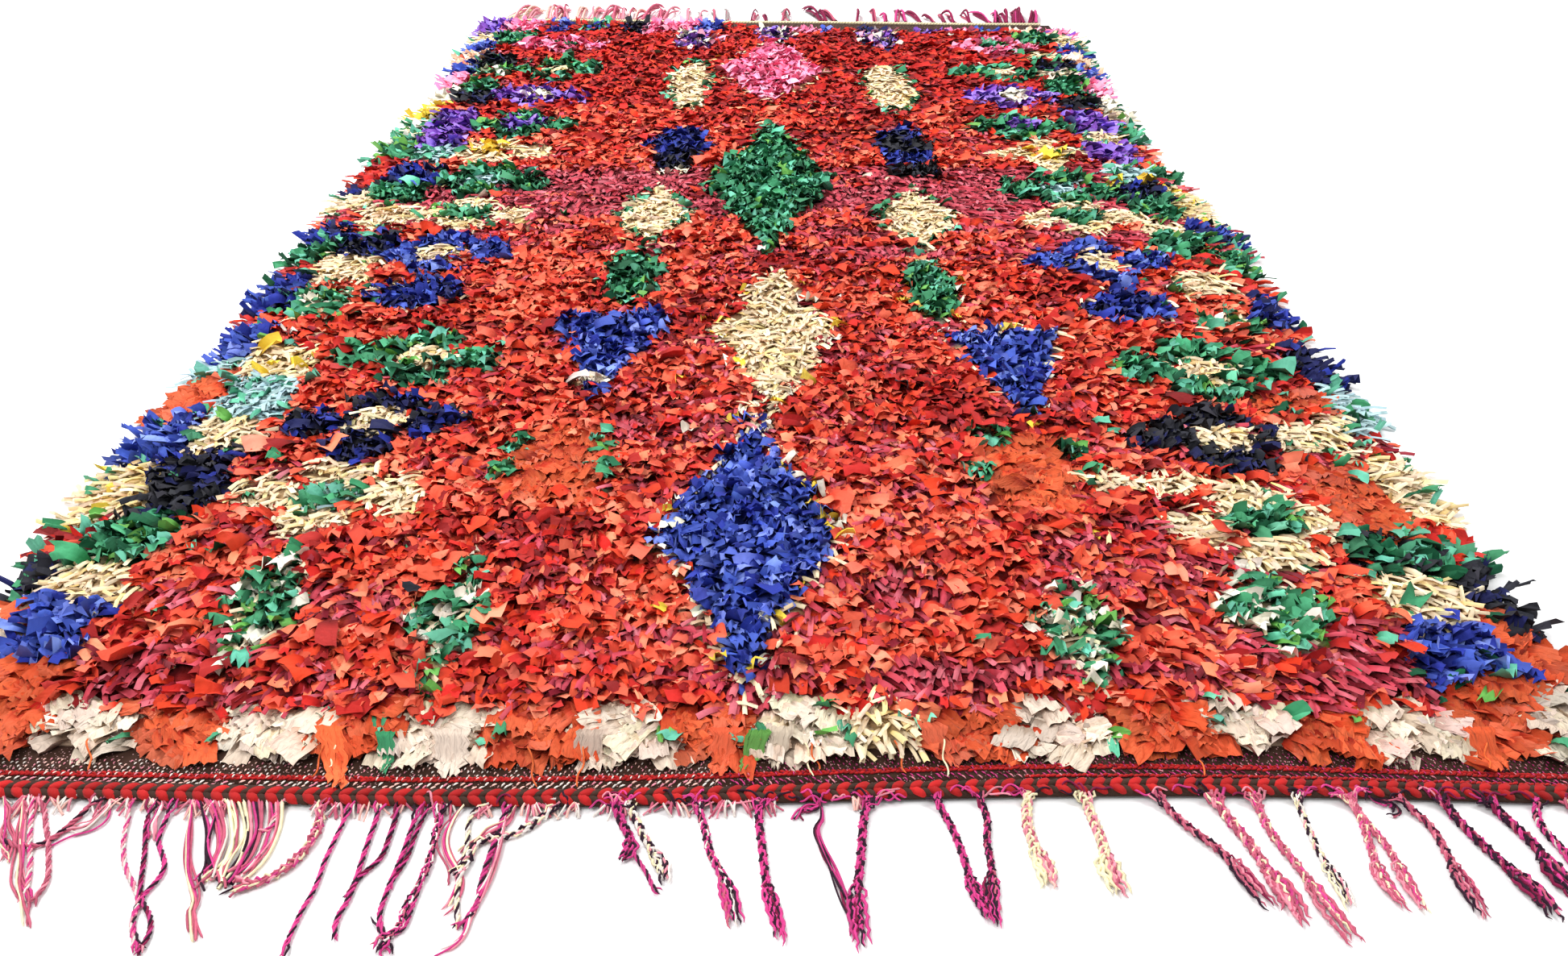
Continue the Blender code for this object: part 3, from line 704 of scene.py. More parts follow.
NEAR_FOOT = outer_foot("twined_edge", np.min)
FAR_FOOT = outer_foot("far_cord", np.max)
SIDES = {side: side_edge(side) for side in (-1, 1)}


def near_end(x):
    """Y of the near edge at x."""
    return np.interp(x, *NEAR_FOOT)


def far_end(x):
    """Y of the far edge at x."""
    return np.interp(x, *FAR_FOOT)


def side_reach(side, y):
    """Distance from the centreline to the ground weave's edge on one side, at y."""
    points = SIDES[side]
    return side * np.interp(y, points[:, 1], points[:, 0])


def edge_reach(x, y):
    """The ground weave's half width on the side where x lies."""
    return np.where(x > 0, side_reach(1, y), side_reach(-1, y))


def pile_tree():
    """The pile solid's faces, for finding its top."""
    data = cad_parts["pile"].data
    return BVHTree.FromPolygons([v.co for v in data.vertices], [p.vertices for p in data.polygons])


PILE_TREE = pile_tree()


def pile_top(x, y):
    """Z of the pile solid's top below each point, or the rim's height where there is none."""
    heights = np.full(len(x), RIM_TOP)
    for number, (px, py) in enumerate(zip(x, y)):
        hit = PILE_TREE.ray_cast(Vector((px, py, 1.0)), Vector((0, 0, -1)))[0]
        if hit is not None:
            heights[number] = max(hit.z, RIM_TOP)
    return heights


def reach_of(shape, dx, dy):
    """How far out a point lies in a motif, 1 on its outline. dx and dy are in its half sizes."""
    ax, ay = np.abs(dx), np.abs(dy)
    if shape == "diamond":
        return ax + ay
    if shape == "oval":
        return np.hypot(ax, ay)
    if shape == "triangle":
        return np.maximum(ay, ax / np.maximum((dy + 1) / 2, 0.05))
    if shape == "petals":
        beside = np.hypot((ax - 0.64) / 0.38, ay / 0.44)
        ahead = np.hypot(ax / 0.40, (ay - 0.64) / 0.38)
        return np.minimum(beside, ahead)
    return np.maximum(ax, ay)


def pick(mix, count, draw):
    """Palette numbers drawn from a mix."""
    shares = np.array(list(mix.values()), float)
    numbers = np.array([NAMES.index(name) for name in mix])
    return draw.choice(numbers, count, p=shares / shares.sum())


def chart(x, y, draw):
    """Palette number of the rag knotted at each point."""
    count = len(x)
    rough_x = x + 0.010 * blotches(x, y, (0.030, 0.030), 3) + draw.normal(0, 0.004, count)
    rough_y = y + 0.012 * blotches(x, y, (0.030, 0.030), 4) + draw.normal(0, 0.005, count)
    colour = np.zeros(count, int)

    def lay(mask, mix):
        colour[mask] = pick(MIXES[mix], mask.sum(), draw)

    def some(share):
        return draw.uniform(0, 1, count) < share

    def within(shape, across, along, half, low=0, high=1):
        reach = reach_of(shape, (rough_x - across) / half[0], (rough_y - along) / half[1])
        return (reach >= low) & (reach < high)

    chart_field(x, y, rough_y, lay, draw)
    stray = some(STRAY_SHARE)
    colour[stray] = pick(STRAY_MIX, stray.sum(), draw)
    for across, along, petals, heart in FLOWERS:
        lay(within("petals", across, along, FLOWER_HALF), petals)
        lay(within("oval", across, along, HEART_HALF), heart)
    for shape, mix, edging, across, along, *half in MOTIFS:
        lay(within(shape, across, along, half), mix)
        if edging:
            lay(within(shape, across, along, half, *EDGING_REACH) & some(EDGING_SHARE), edging)
    column_x = rough_x + (x < 0) * LEFT_LEAN[0] * smooth((LEFT_LEAN[1] - rough_y) / LEFT_LEAN[2])
    for (left, right), blocks in BORDER_COLUMNS:
        higher = FAR_ROW_Y
        column = (column_x >= left) & (column_x < right)
        for lower, mix in blocks:
            if mix:
                lay(column & (rough_y <= higher) & (rough_y > lower), mix)
            lay(column & (np.abs(rough_y - lower) < SEAM_HALF) & some(SEAM_BITS), "side_green")
            higher = lower
    for reach, share in SIDE_BITS:
        lay((np.abs(x) > reach) & some(share), "side_green")
    chart_end_rows(rough_x, rough_y, lay, some)
    return colour


def chart_field(x, y, rough_y, lay, draw):
    """The red field: bands of rags with streaks of jersey, and salmon and dark patches."""
    higher = np.inf
    streaks = 0.5 + 0.5 * blotches(x, y, (0.085, 0.026), 5) + 0.26 * draw.uniform(-1, 1, len(x))
    patches = blotches(x, y, (0.120, 0.080), 6) + 0.30 * draw.uniform(-1, 1, len(x))
    for lower, mix, jersey in FIELD_BANDS:
        band = (rough_y <= higher) & (rough_y > lower)
        lay(band, mix)
        lay(band & (patches > SALMON_ABOVE) & (y < SALMON_TO), "salmon")
        lay(band & (patches < DARK_BELOW), "dark_patch")
        share = jersey * np.where(y < LEFT_RAGS_Y, 0.36 + 0.48 * smooth((x + 0.30) / 0.40), 1.0)
        lay(band & (streaks < share), "jersey")
        higher = lower


def chart_end_rows(rough_x, rough_y, lay, some):
    """The far row of blocks, and the near row of squares on orange with green bits at their seams."""
    lower = -np.inf
    for upper, mix in FAR_ROW:
        if mix:
            lay((rough_y > FAR_ROW_Y) & (rough_x >= lower) & (rough_x < upper), mix)
        lower = upper
    near_row = rough_y < NEAR_ROW_Y
    lay(near_row, "orange")
    for left, right, mix in NEAR_SQUARES:
        lay(near_row & (rough_x >= left) & (rough_x < right), mix)
        for seam in (left, right):
            lay(near_row & (np.abs(rough_x - seam) < NEAR_SEAM_HALF) & some(NEAR_SEAM_BITS), "bright_green")


def jittered(pitch, low, high, draw):
    """Points of a shaken grid over a box."""
    across = np.arange(low[0], high[0], pitch[0])
    along = np.arange(low[1], high[1], pitch[1])
    x, y = np.meshgrid(across, along)
    x = x + pitch[0] * 0.5 * (np.arange(len(along))[:, None] % 2)
    x = x.ravel() + draw.uniform(-0.45, 0.45, x.size) * pitch[0]
    y = y.ravel() + draw.uniform(-0.38, 0.38, y.size) * pitch[1]
    return x, y


def strips(cloth, quads, roots, aim, wide, long, stand, draw):
    """Bent cloth strips as point grids, (strips, rows, columns, 3), with each point's place on its cloth."""
    count = len(roots)

    def each(low, high):
        return per_strand(draw, count, low, high)

    across_quads, along_quads = quads
    s = steps(along_quads + 1)
    t = np.linspace(-1, 1, across_quads + 1)[None, None, :]
    narrow, broad = cloth["width"]
    width = (narrow + (broad - narrow) * each(0, 1) ** 1.6) * wide[:, None, None]
    length = each(*cloth["length"]) * long[:, None, None]
    rise, fall = np.radians(each(*cloth["rise"])) * stand, np.radians(each(*cloth["fall"]))
    middles = (np.arange(along_quads) + 0.5) / along_quads
    bend = rise + (fall - rise) * middles[None, :, None] ** 0.75
    step = length / along_quads
    start = np.zeros((count, 1, 1))
    run = np.concatenate([start, np.cumsum(np.cos(bend) * step, 1)], 1)
    climb = np.concatenate([start, np.cumsum(np.sin(bend) * step, 1)], 1)
    torn = cloth["torn"]
    slant = each(-1, 1) * t + each(-1, 1) * (t * t - 0.5)
    tips = draw.uniform(-1, 1, (count, 1, across_quads + 1))
    stretch = 1 + torn * s * slant + 0.5 * torn * s * tips
    run, climb = run * stretch, climb * (0.5 + 0.5 * stretch)
    half = width / 2 * (0.70 + 0.30 * smooth(s / 0.4)) * (1 + 0.24 * each(-1, 1) * (s - 0.5))
    sway = length * 0.25 * each(-1, 1) * s * s
    lean = half * (t + torn * each(-1, 1) * s) + sway
    ripple = np.sin(TAU * (each(*cloth["waves"]) * t + each(0, 1) + 0.4 * s))
    proud = half * cloth["cup"] * each(0.3, 1.3) * (t * t - 0.4) * np.sign(each(-0.35, 1))
    proud = proud + width * cloth["ruffle"] * each(0.4, 1.2) * ripple * (0.3 + 0.7 * s)
    crumple = draw.normal(0, 1, (count, along_quads + 1, across_quads + 1))
    proud = proud + cloth["crumple"] * crumple * smooth(s * 4)
    turn = np.radians(cloth["twist"]) * each(-1, 1) * s
    bent = np.concatenate([rise, bend[:, :-1] * 0.5 + bend[:, 1:] * 0.5, bend[:, -1:]], 1)
    forward = spots(np.cos(aim), np.sin(aim), 0)[:, None, None]
    side = spots(-np.sin(aim), np.cos(aim), 0)[:, None, None]
    normal = UP * np.cos(bent)[..., None] - forward * np.sin(bent)[..., None]
    across = side * np.cos(turn)[..., None] + normal * np.sin(turn)[..., None]
    above = normal * np.cos(turn)[..., None] - side * np.sin(turn)[..., None]
    points = roots[:, None, None] + forward * run[..., None] + UP * climb[..., None]
    points = points + across * lean[..., None] + above * proud[..., None]
    over = np.maximum(points[..., 2] - SOFT_TOP, 0)
    points[..., 2] = np.minimum(points[..., 2], SOFT_TOP) + SOFT_ROOM * np.tanh(over / SOFT_ROOM)
    points[..., 2] = np.maximum(points[..., 2], LOWEST + 0.0012 * draw.uniform(0, 1, points.shape[:3]))
    place = spots(half * t, length * s, each(0, 10))
    return points, place, np.broadcast_to(s, points.shape[:3])


def add_grids(name, stacks, material, wrap=False):
    """One mesh from stacks of point grids, each (grids, rows, columns, 3) with its tints and cloth places."""
    points, tints, places, faces, offset = [], [], [], [], 0
    closed = wrap if isinstance(wrap, tuple) else (wrap,) * len(stacks)
    for (grid, tint, place), around in zip(stacks, closed):
        count, rows, columns = grid.shape[:3]
        index = offset + np.arange(count * rows * columns).reshape(count, rows, columns)
        beside = np.roll(index, -1, 2) if around else index[:, :, 1:]
        here = index if around else index[:, :, :-1]
        quads = np.stack([here[:, :-1], beside[:, :-1], beside[:, 1:], here[:, 1:]], -1)
        faces.append(quads.reshape(-1, 4))
        points.append(grid.reshape(-1, 3))
        tints.append(np.broadcast_to(tint, grid.shape).reshape(-1, 3))
        places.append(place.reshape(-1, 3))
        offset += count * rows * columns
    points, faces = np.concatenate(points), np.concatenate(faces)
    mesh = bpy.data.meshes.new(name)
    mesh.vertices.add(len(points))
    mesh.vertices.foreach_set("co", points.astype(np.float32).ravel())
    mesh.loops.add(faces.size)
    mesh.loops.foreach_set("vertex_index", faces.astype(np.int32).ravel())
    mesh.polygons.add(len(faces))
    mesh.polygons.foreach_set("loop_start", np.arange(0, faces.size, 4, dtype=np.int32))
    mesh.update(calc_edges=True)
    tint = mesh.attributes.new("tint", "FLOAT_COLOR", "POINT")
    colours = np.concatenate([np.concatenate(tints), np.ones((len(points), 1))], 1)
    tint.data.foreach_set("color", colours.astype(np.float32).ravel())
    place = mesh.attributes.new("cloth", "FLOAT_VECTOR", "POINT")
    place.data.foreach_set("vector", np.concatenate(places).astype(np.float32).ravel())
    mesh.shade_smooth()
    made = bpy.data.objects.new(name, mesh)
    bpy.context.scene.collection.objects.link(made)
    mesh.materials.append(material)
    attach(made, "root")
    return made


def matt_material(name, roughness):
    """A matt material with its node tree and its shader."""
    made = bpy.data.materials.new(name)
    made.use_nodes = True
    shader = made.node_tree.nodes["Principled BSDF"]
    shader.inputs["Roughness"].default_value = roughness
    shader.inputs["Specular IOR Level"].default_value = 0.2
    return made, made.node_tree, shader


def add_node(tree, kind, sources=None, values=None, **settings):
    """A shader node with its settings, what its inputs are linked from, and the values of others."""
    made = tree.nodes.new("ShaderNode" + kind)
    for name, value in settings.items():
        setattr(made, name, value)
    for name, value in (values or {}).items():
        made.inputs[name].default_value = value
    for name, source in (sources or {}).items():
        tree.links.new(source, made.inputs[name])
    return made


def relief(tree, height, depth, strength, under=None):
    """Normals of a fine relief, laid over those of another one where there is one."""
    sources = {"Height": height, "Normal": under} if under else {"Height": height}
    made = add_node(tree, "Bump", sources, {"Distance": depth, "Strength": strength})
    return made.outputs["Normal"]


def cloth_material(name, roughness, sheen, wrinkle, thread, creased=False):
    """Matt cloth in the points' own tints, mottled, with soft wrinkles and the weave's threads.

    wrinkle is (size, depth) and thread is (pitch, depth). The wrinkles of creased cloth run along it.
    """
    made, tree, shader = matt_material(name, roughness)
    shader.inputs["Sheen Weight"].default_value = sheen
    shader.inputs["Sheen Roughness"].default_value = 0.5
    tint = add_node(tree, "Attribute", attribute_name="tint").outputs["Color"]
    place = add_node(tree, "Attribute", attribute_name="cloth").outputs["Vector"]
    mottle = add_node(tree, "TexNoise", {"Vector": place}, {"Scale": 160, "Detail": 3})
    tone = add_node(tree, "MapRange", {"Value": mottle.outputs["Fac"]}, {"To Min": 0.82, "To Max": 1.16})
    colour = add_node(tree, "VectorMath", {0: tint, "Scale": tone.outputs["Result"]}, operation="SCALE")
    tree.links.new(colour.outputs["Vector"], shader.inputs["Base Color"])
    squeeze = (1.0, 0.30 if creased else 1.0, 1.0)
    drawn = add_node(tree, "VectorMath", {0: place}, {1: squeeze}, operation="MULTIPLY").outputs["Vector"]
    size = {"Scale": 1 / wrinkle[0], "Detail": 2, "Distortion": 0.8}
    folds = add_node(tree, "TexNoise", {"Vector": drawn}, size).outputs["Fac"]
    normals = relief(tree, folds, wrinkle[1], 1.0)
    pitch = {"Scale": 1 / thread[0] / 20, "Distortion": 0.6}
    for direction in ("X", "Y"):
        threads = add_node(tree, "TexWave", {"Vector": place}, pitch, bands_direction=direction)
        normals = relief(tree, threads.outputs["Fac"], thread[1], 0.6, normals)
    tree.links.new(normals, shader.inputs["Normal"])
    return made


def rag_tints(colour, along, shade, draw):
    """Tints of strips by palette number, each a little off its cloth's colour, with painted shade that makes
    it deeper and darker towards its root.
    """
    count = len(colour)
    base = linear([PALETTE[name][:3] for name in NAMES])[colour]
    value = np.exp(draw.normal(0, 0.15, count))
    faded = np.clip(draw.normal(0, 0.04, count), 0, 0.15)[:, None]
    base = base * value[:, None]
    base = base * (1 - faded) + faded * 0.8 * base.max(1, keepdims=True)
    base = base * (1 + draw.normal(0, 0.03, (count, 3)))
    # Painted shade: towards the root the tint grows more saturated and darker, down to shade times its colour
    # at the root.
    out = smooth(along / 0.62)[..., None]
    return np.clip(base, 0, 1)[:, None, None] ** (1.75 - 0.75 * out) * (shade + (1 - shade) * out)


def rag_roots(cloth, pitch, lower, upper, draw):
    """Roots of a cloth's strips in a stretch of Y, the way each one falls, and its colour."""
    half_x, half_y = ROOT_BOX
    x, y = jittered(pitch, (-half_x, max(lower, -half_y)), (half_x, min(upper, half_y)), draw)
    inner_x = np.clip(x, -END_REACH, END_REACH)
    from_side = edge_reach(x, y) + RAG_OVERHANG - np.abs(x)
    from_near = y - near_end(inner_x) - np.interp(x, *NEAR_BAND)
    from_far = far_end(inner_x) - np.interp(x, *FAR_BAND) - y
    inside = (from_side > 0) & (from_near > 0) & (from_far > 0)
    x, y, from_side, from_far = x[inside], y[inside], from_side[inside], from_far[inside]
    out = 1 - smooth(from_side / SIDE_FAN)
    back = 1 - smooth(from_far / FAR_FAN)
    aim_x = np.sign(x) * out * 1.6 + 0.8 * smooth((x - 0.10) / 0.50) - 0.3 * smooth((-0.20 - x) / 0.50)
    aim_y = -1.0 + 0.8 * out + 2.0 * back
    aim = np.arctan2(aim_y, aim_x) + np.radians(draw.normal(0, cloth["spread"], len(x)))
    shown = 0.6 * (cloth["length"][0] + cloth["length"][1]) / 2
    colour = chart(x + np.cos(aim) * shown, y + np.sin(aim) * shown, draw)
    return x, y, aim, colour, from_side, from_far


def rags(kind, zone, seed):
    """Every strip of one cloth within a stretch of the rug, as one stack of grids."""
    draw = np.random.default_rng(seed)
    cloth = CLOTHS[kind]
    name, lower, upper, stand, pale = zone
    *pitch, quads_across, quads_along, size = cloth[name]
    found = rag_roots(cloth, pitch, lower, upper, draw)
    own = np.array([PALETTE[name][3] == kind for name in NAMES])[found[3]]
    x, y, aim, colour, from_side, from_far = (values[own] for values in found)
    height = pile_top(x, y) - ROOT_DEPTH + draw.normal(0, 0.0020, len(x))
    low_side = 1 - smooth(from_side / 0.03)
    low_far = 1 - smooth(from_far / 0.08)
    height = np.maximum(height, 0.0035) * (1 - 0.55 * low_side)
    height = height + np.interp(x, *FAR_LIFT) * low_far * (1 - low_side)
    big = (draw.uniform(0, 1, len(x)) < cloth["big"]) & (from_side > 0.06) & (from_far > 0.12)
    scale = size * np.where(big, BIG_SCALE, 1.0) * (1 - 0.10 * low_far)
    roots = spots(x, y, height + 0.003 * big)
    wide, long = scale * (1 - cloth["slim"] * low_side), scale * (1 + 0.35 * low_side)
    points, place, along = strips(cloth, (quads_across, quads_along), roots, aim, wide, long, stand, draw)
    # Painted shade at the roots: the cloth's shade, made lighter in the stretches whose pale is higher.
    return points, rag_tints(colour, along, cloth["shade"] + pale, draw), place


def hanging_rags():
    """Long rags of the near row that hang over the bare band towards the edge."""
    draw = np.random.default_rng(47)
    count, (rows, columns) = len(HANGING_RAGS), HANGING_GRID
    measures = np.array([row[:5] for row in HANGING_RAGS]).T
    root_x, root_in, tip_x, tip_in, width = measures[:, :, None, None]
    s, t = steps(rows), np.linspace(-1, 1, columns)
    both_sides = np.stack([np.linspace(1, 0, columns), np.linspace(0, 1, columns)])
    ragged = draw.uniform(0.65, 1.15, (count, rows, 2)) @ both_sides
    x = root_x + (tip_x - root_x) * s + width / 2 * t * (1 - 0.5 * s) * ragged
    torn = 1 - 0.30 * draw.uniform(0, 1, (count, 1, columns)) * s
    inward = root_in + (tip_in - root_in) * s * torn
    ripple = np.sin(TAU * (per_strand(draw, count, 1.1, 1.8) * t + per_strand(draw, count) + 0.5 * s))
    level = 0.0245 - 0.0165 * smooth(s * 1.7) + 0.0035 * smooth((0.024 - inward) / 0.008) + 0.0013 * ripple
    points = spots(x, near_end(x) + inward, level)
    points[..., 2] += draw.normal(0, 0.0003, level.shape)
    long = np.broadcast_to(s, level.shape)
    place = spots(width / 2 * t, long * (root_in - tip_in), 3.0)
    colour = np.array([NAMES.index(row[5]) for row in HANGING_RAGS])
    # Painted shade towards the hanging rags' roots, lighter than on the pile.
    return points, rag_tints(colour, 0.45 + 0.55 * long, 0.8, draw), place


def add_rags():
    """Every rag of the pile. Cotton and ruffled rags are one piece for each stretch."""
    cotton = cloth_material("rag_cotton", 0.84, 0.03, (0.009, 0.0012), (0.0007, 0.0001))
    jersey = cloth_material("rag_jersey", 0.88, 0.05, (0.006, 0.0008), (0.0011, 0.0003))
    linen = cloth_material("rag_linen", 0.90, 0.03, (0.0050, 0.0040), (0.0008, 0.0001), creased=True)
    for kind, name, seed in (("cotton", "cotton_rags", 31), ("ruffle", "ruffled_rags", 40)):
        for number, zone in enumerate(ZONES):
            add_grids(f"{name}_{zone[0]}", [rags(kind, zone, seed + number)], cotton)
    for kind, name, material, seed in (
        ("jersey", "jersey_strips", jersey, 34),
        ("noodle", "cream_strips", jersey, 37),
        ("crumple", "crumpled_rags", linen, 43),
    ):
        stacks = [rags(kind, zone, seed + number) for number, zone in enumerate(ZONES)]
        if kind == "crumple":
            stacks.append(hanging_rags())
        add_grids(name, stacks, material)


def slanted(y, over, near_shift, far_shift):
    """y with its ends shifted to fit the rug's slanted ends, growing over a length past SLANT_FROM."""
    share = np.clip((np.abs(y) - SLANT_FROM) / over, 0, 1)
    return y + share * np.where(y > 0, far_shift, near_shift)


def add_bed():
    """The knots' feet, a lumpy layer that closes the pile from below, in the rags' colours darkened as
    painted shade.
    """
    draw = np.random.default_rng(21)
    near, far = BED_ENDS
    rows, columns = round((far - near) / BED_CELL), round(BED_WIDTH / BED_CELL)
    ys = np.concatenate([[near], np.linspace(near, far, rows), [far]])
    share = np.concatenate([[-1], np.linspace(-1, 1, columns), [1]])
    x = share * (edge_reach(share, ys[:, None]) + RAG_OVERHANG * 0.5)
    inner = np.repeat(ys[:, None], len(share), 1)
    y = slanted(inner, 0.2, near_end(x) + BED_SHIFTS[0], far_end(x) + BED_SHIFTS[1])
    colour = chart(x.ravel(), y.ravel(), draw)
    top = pile_top(x.ravel(), y.ravel()).reshape(x.shape)
    z = np.maximum(top - BED_DEPTH + draw.uniform(-0.0015, 0.0015, x.shape), BED_LOWEST)
    z[[0, -1]] = SHEET_TOP + 0.0003
    z[:, [0, -1]] = SHEET_TOP + 0.0003
    points = spots(x, y, z)[None]
    tints = linear([PALETTE[name][:3] for name in NAMES])[colour].reshape(points.shape)
    # Painted shade: the bed takes the rags' colours made much darker, for the shade between the rags.
    tints = 0.30 * tints**1.3 + 0.25 * tints**3
    material = cloth_material("knot_bed", 0.95, 0.03, (0.010, 0.004), (0.003, 0.0006))
    made = add_grids("knot_bed", [(points, tints, points)], material)
    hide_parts("pile")


def add_ground():
    """The flat-woven cloth under the pile, whose ends show as dark bands."""
    rows, columns = round(SHEET_FLAT[1] / SHEET_CELL), round(SHEET_FLAT[0] / SHEET_CELL)
    ys, share = np.linspace(-SHEET_END, SHEET_END, rows), np.linspace(-1, 1, columns)
    inner = np.repeat(ys[:, None], columns, 1)
    x = share * (edge_reach(share, ys[:, None]) - 0.002)
    start, finish = near_end(x) + TWINE_DEPTH * 0.6, far_end(x) - 0.010
    y = slanted(inner, SHEET_END - SLANT_FROM, start + SHEET_END, finish - SHEET_END)
    top, foot = (spots(x, y, level) for level in (SHEET_TOP, SHEET_FOOT))
    loop = np.concatenate([top, foot[:, ::-1]], 1)
    grids = [loop, np.stack([foot[0], top[0]]), np.stack([top[-1], foot[-1]])]
    brown = linear(YARNS["brown"])
    stacks = [(grid[None], brown, grid[None]) for grid in grids]
    made = add_grids("ground_cloth", stacks, weave_material(), wrap=(True, False, False))
    close_seams(made)
    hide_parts("ground_weave")
    return made


def close_seams(piece):
    """Join points that lie on each other, so that the mesh is closed."""
    joined = bmesh.new()
    joined.from_mesh(piece.data)
    bmesh.ops.remove_doubles(joined, verts=joined.verts, dist=TINY / 10)
    bmesh.ops.recalc_face_normals(joined, faces=joined.faces)
    joined.to_mesh(piece.data)
    joined.free()


def weave_material():
    """Dark brown weft-faced wool with fine pale and pink specks where the warp shows."""
    made, tree, shader = matt_material("brown_weave", 0.92)
    place = add_node(tree, "Attribute", attribute_name="cloth").outputs["Vector"]
    specks = add_node(tree, "TexVoronoi", {"Vector": place}, {"Scale": 330})
    ramp = add_node(tree, "ValToRGB", {"Fac": specks.outputs["Distance"]})
    for stop, place_on_ramp, dye in ((0, 0.10, (206, 160, 160)), (1, 0.26, YARNS["brown"])):
        ramp.color_ramp.elements[stop].position = place_on_ramp
        ramp.color_ramp.elements[stop].color = (*linear(dye), 1)
    tree.links.new(ramp.outputs["Color"], shader.inputs["Base Color"])
    pitch = {"Scale": 1 / RIB_PITCH / 20, "Distortion": 1.5}
    ribs = add_node(tree, "TexWave", {"Vector": place}, pitch, bands_direction="Y").outputs["Fac"]
    tree.links.new(relief(tree, ribs, 0.0008, 1.0), shader.inputs["Normal"])
    return made


def tubes(paths, radii, sides, seed):
    """Round yarns along paths, (yarns, points, 3), as grids that close around, with places on the yarn."""
    ahead = np.gradient(paths, axis=1)
    ahead = ahead / (np.linalg.norm(ahead, axis=-1, keepdims=True) + 1e-9)
    side = np.cross(ahead, UP)
    side = side / (np.linalg.norm(side, axis=-1, keepdims=True) + 1e-9)
    up = np.cross(side, ahead)
    turn = np.arange(sides) / sides * TAU
    ring = side[:, :, None] * np.cos(turn)[:, None] + up[:, :, None] * np.sin(turn)[:, None]
    points = paths[:, :, None] + ring * radii[:, :, None, None]
    points[..., 2] = np.maximum(points[..., 2], LOWEST)
    paces = np.linalg.norm(np.diff(paths, axis=1), axis=-1)
    along = np.concatenate([np.zeros((len(paths), 1)), np.cumsum(paces, 1)], 1)[:, :, None]
    around = radii[:, :, None] * turn
    own = np.random.default_rng(seed).uniform(0, 10, (len(paths), 1, 1))
    return points, spots(around + along * 0.8, along, own)


def spindle(count_along):
    """Thickness along a short yarn that closes at both ends."""
    share = np.linspace(0, 1, count_along)
    return np.maximum(np.sqrt(np.maximum(1 - (2 * share - 1) ** 2, 0)), 0.12)


def leaves(start, finish, width, height, bow, sides, rows, seed):
    """Plump short stitches from start to finish points (stitches, 3), bowed up in the middle."""
    share = steps(rows)
    paths = start[:, None] + (finish - start)[:, None] * share
    paths = paths + UP * bow * np.sin(math.pi * share)
    radii = np.repeat(spindle(rows)[None] * width / 2, len(start), 0)
    points, place = tubes(paths, radii, sides, seed)
    points[..., 2] = paths[:, :, None, 2] + (points[..., 2] - paths[:, :, None, 2]) * height / width
    points[..., 2] = np.maximum(points[..., 2], LOWEST)
    return points, place


def dyed(yarns, names, draw, spread=0.10):
    """Yarns and their places as one stack for add_grids, each yarn a little off the dye it is named for."""
    points, place = yarns
    base = linear([YARNS[name] for name in names]) * np.exp(draw.normal(0, spread, (len(names), 1)))
    return points, np.clip(base, 0, 1)[:, None, None], place


def red_line(x):
    """Y of the red weft line that runs along the near band."""
    return near_end(x) + np.interp(x, *RED_WEFT)


def fleck_row(number, inward, pitch, length, width, lean, draw):
    """One row of warp flecks, pale on the left and magenta on the right."""
    x = np.arange(-FLECK_REACH, FLECK_REACH, pitch) + pitch / 2 * (number % 2)
    x = x[draw.uniform(0, 1, len(x)) < FLECK_SHARE]
    x = x + draw.normal(0, 0.0006, len(x))
    side = np.where(x < MAGENTA_FROM, 1, -1)
    turn = np.radians(lean + draw.normal(0, 9, len(x)))
    half = spots(side * np.cos(turn), np.sin(turn), 0) * length / 2
    level = SHEET_TOP + 0.0006 + 0.0012 * (np.abs(inward) < TINY)
    middle = spots(x, red_line(x) + inward + draw.normal(0, 0.0005, len(x)), level)
    yarns = leaves(middle - half, middle + half, width, width, 0.0005, 3, 4, 52 + number)
    pale = draw.choice(["white", "rosy", "blush"], len(x), p=(0.4, 0.3, 0.3))
    deep = draw.choice(["magenta", "dark_magenta", "rosy"], len(x), p=(0.6, 0.2, 0.2))
    return dyed(yarns, np.where(x < MAGENTA_FROM, pale, deep), draw)


def weft_line(number, first, inward, draw):
    """One line of red weft stitches, which slant the other way in each line."""
    x = np.arange(first, WEFT_REACH, WEFT_PITCH) + WEFT_PITCH / 2 * number
    middle = red_line(x) + inward + draw.normal(0, 0.0004, len(x))
    level = np.full(len(x), SHEET_TOP + 0.0007) + draw.normal(0, 0.0003, len(x))
    tilt = 0.0012 * (-1) ** number
    start = spots(x - WEFT_PITCH * 0.62, middle - tilt, level)
    finish = spots(x + WEFT_PITCH * 0.62, middle + tilt, level)
    yarns = leaves(start, finish, 0.0034, 0.0030, 0.0005, 4, 4, 61 + number)
    return dyed(yarns, ["red"] * len(x), draw, 0.16)


def add_near_band():
    """Pale and magenta warp flecks, and the red weft lines, on the near end's brown weave."""
    draw = np.random.default_rng(51)
    stacks = [fleck_row(number, *row, draw) for number, row in enumerate(FLECK_ROWS)]
    stacks += [weft_line(number, *line, draw) for number, line in enumerate(WEFT_LINES)]
    stacks.append(hanging_threads(draw))
    return add_grids("near_band", stacks, YARN, wrap=True)


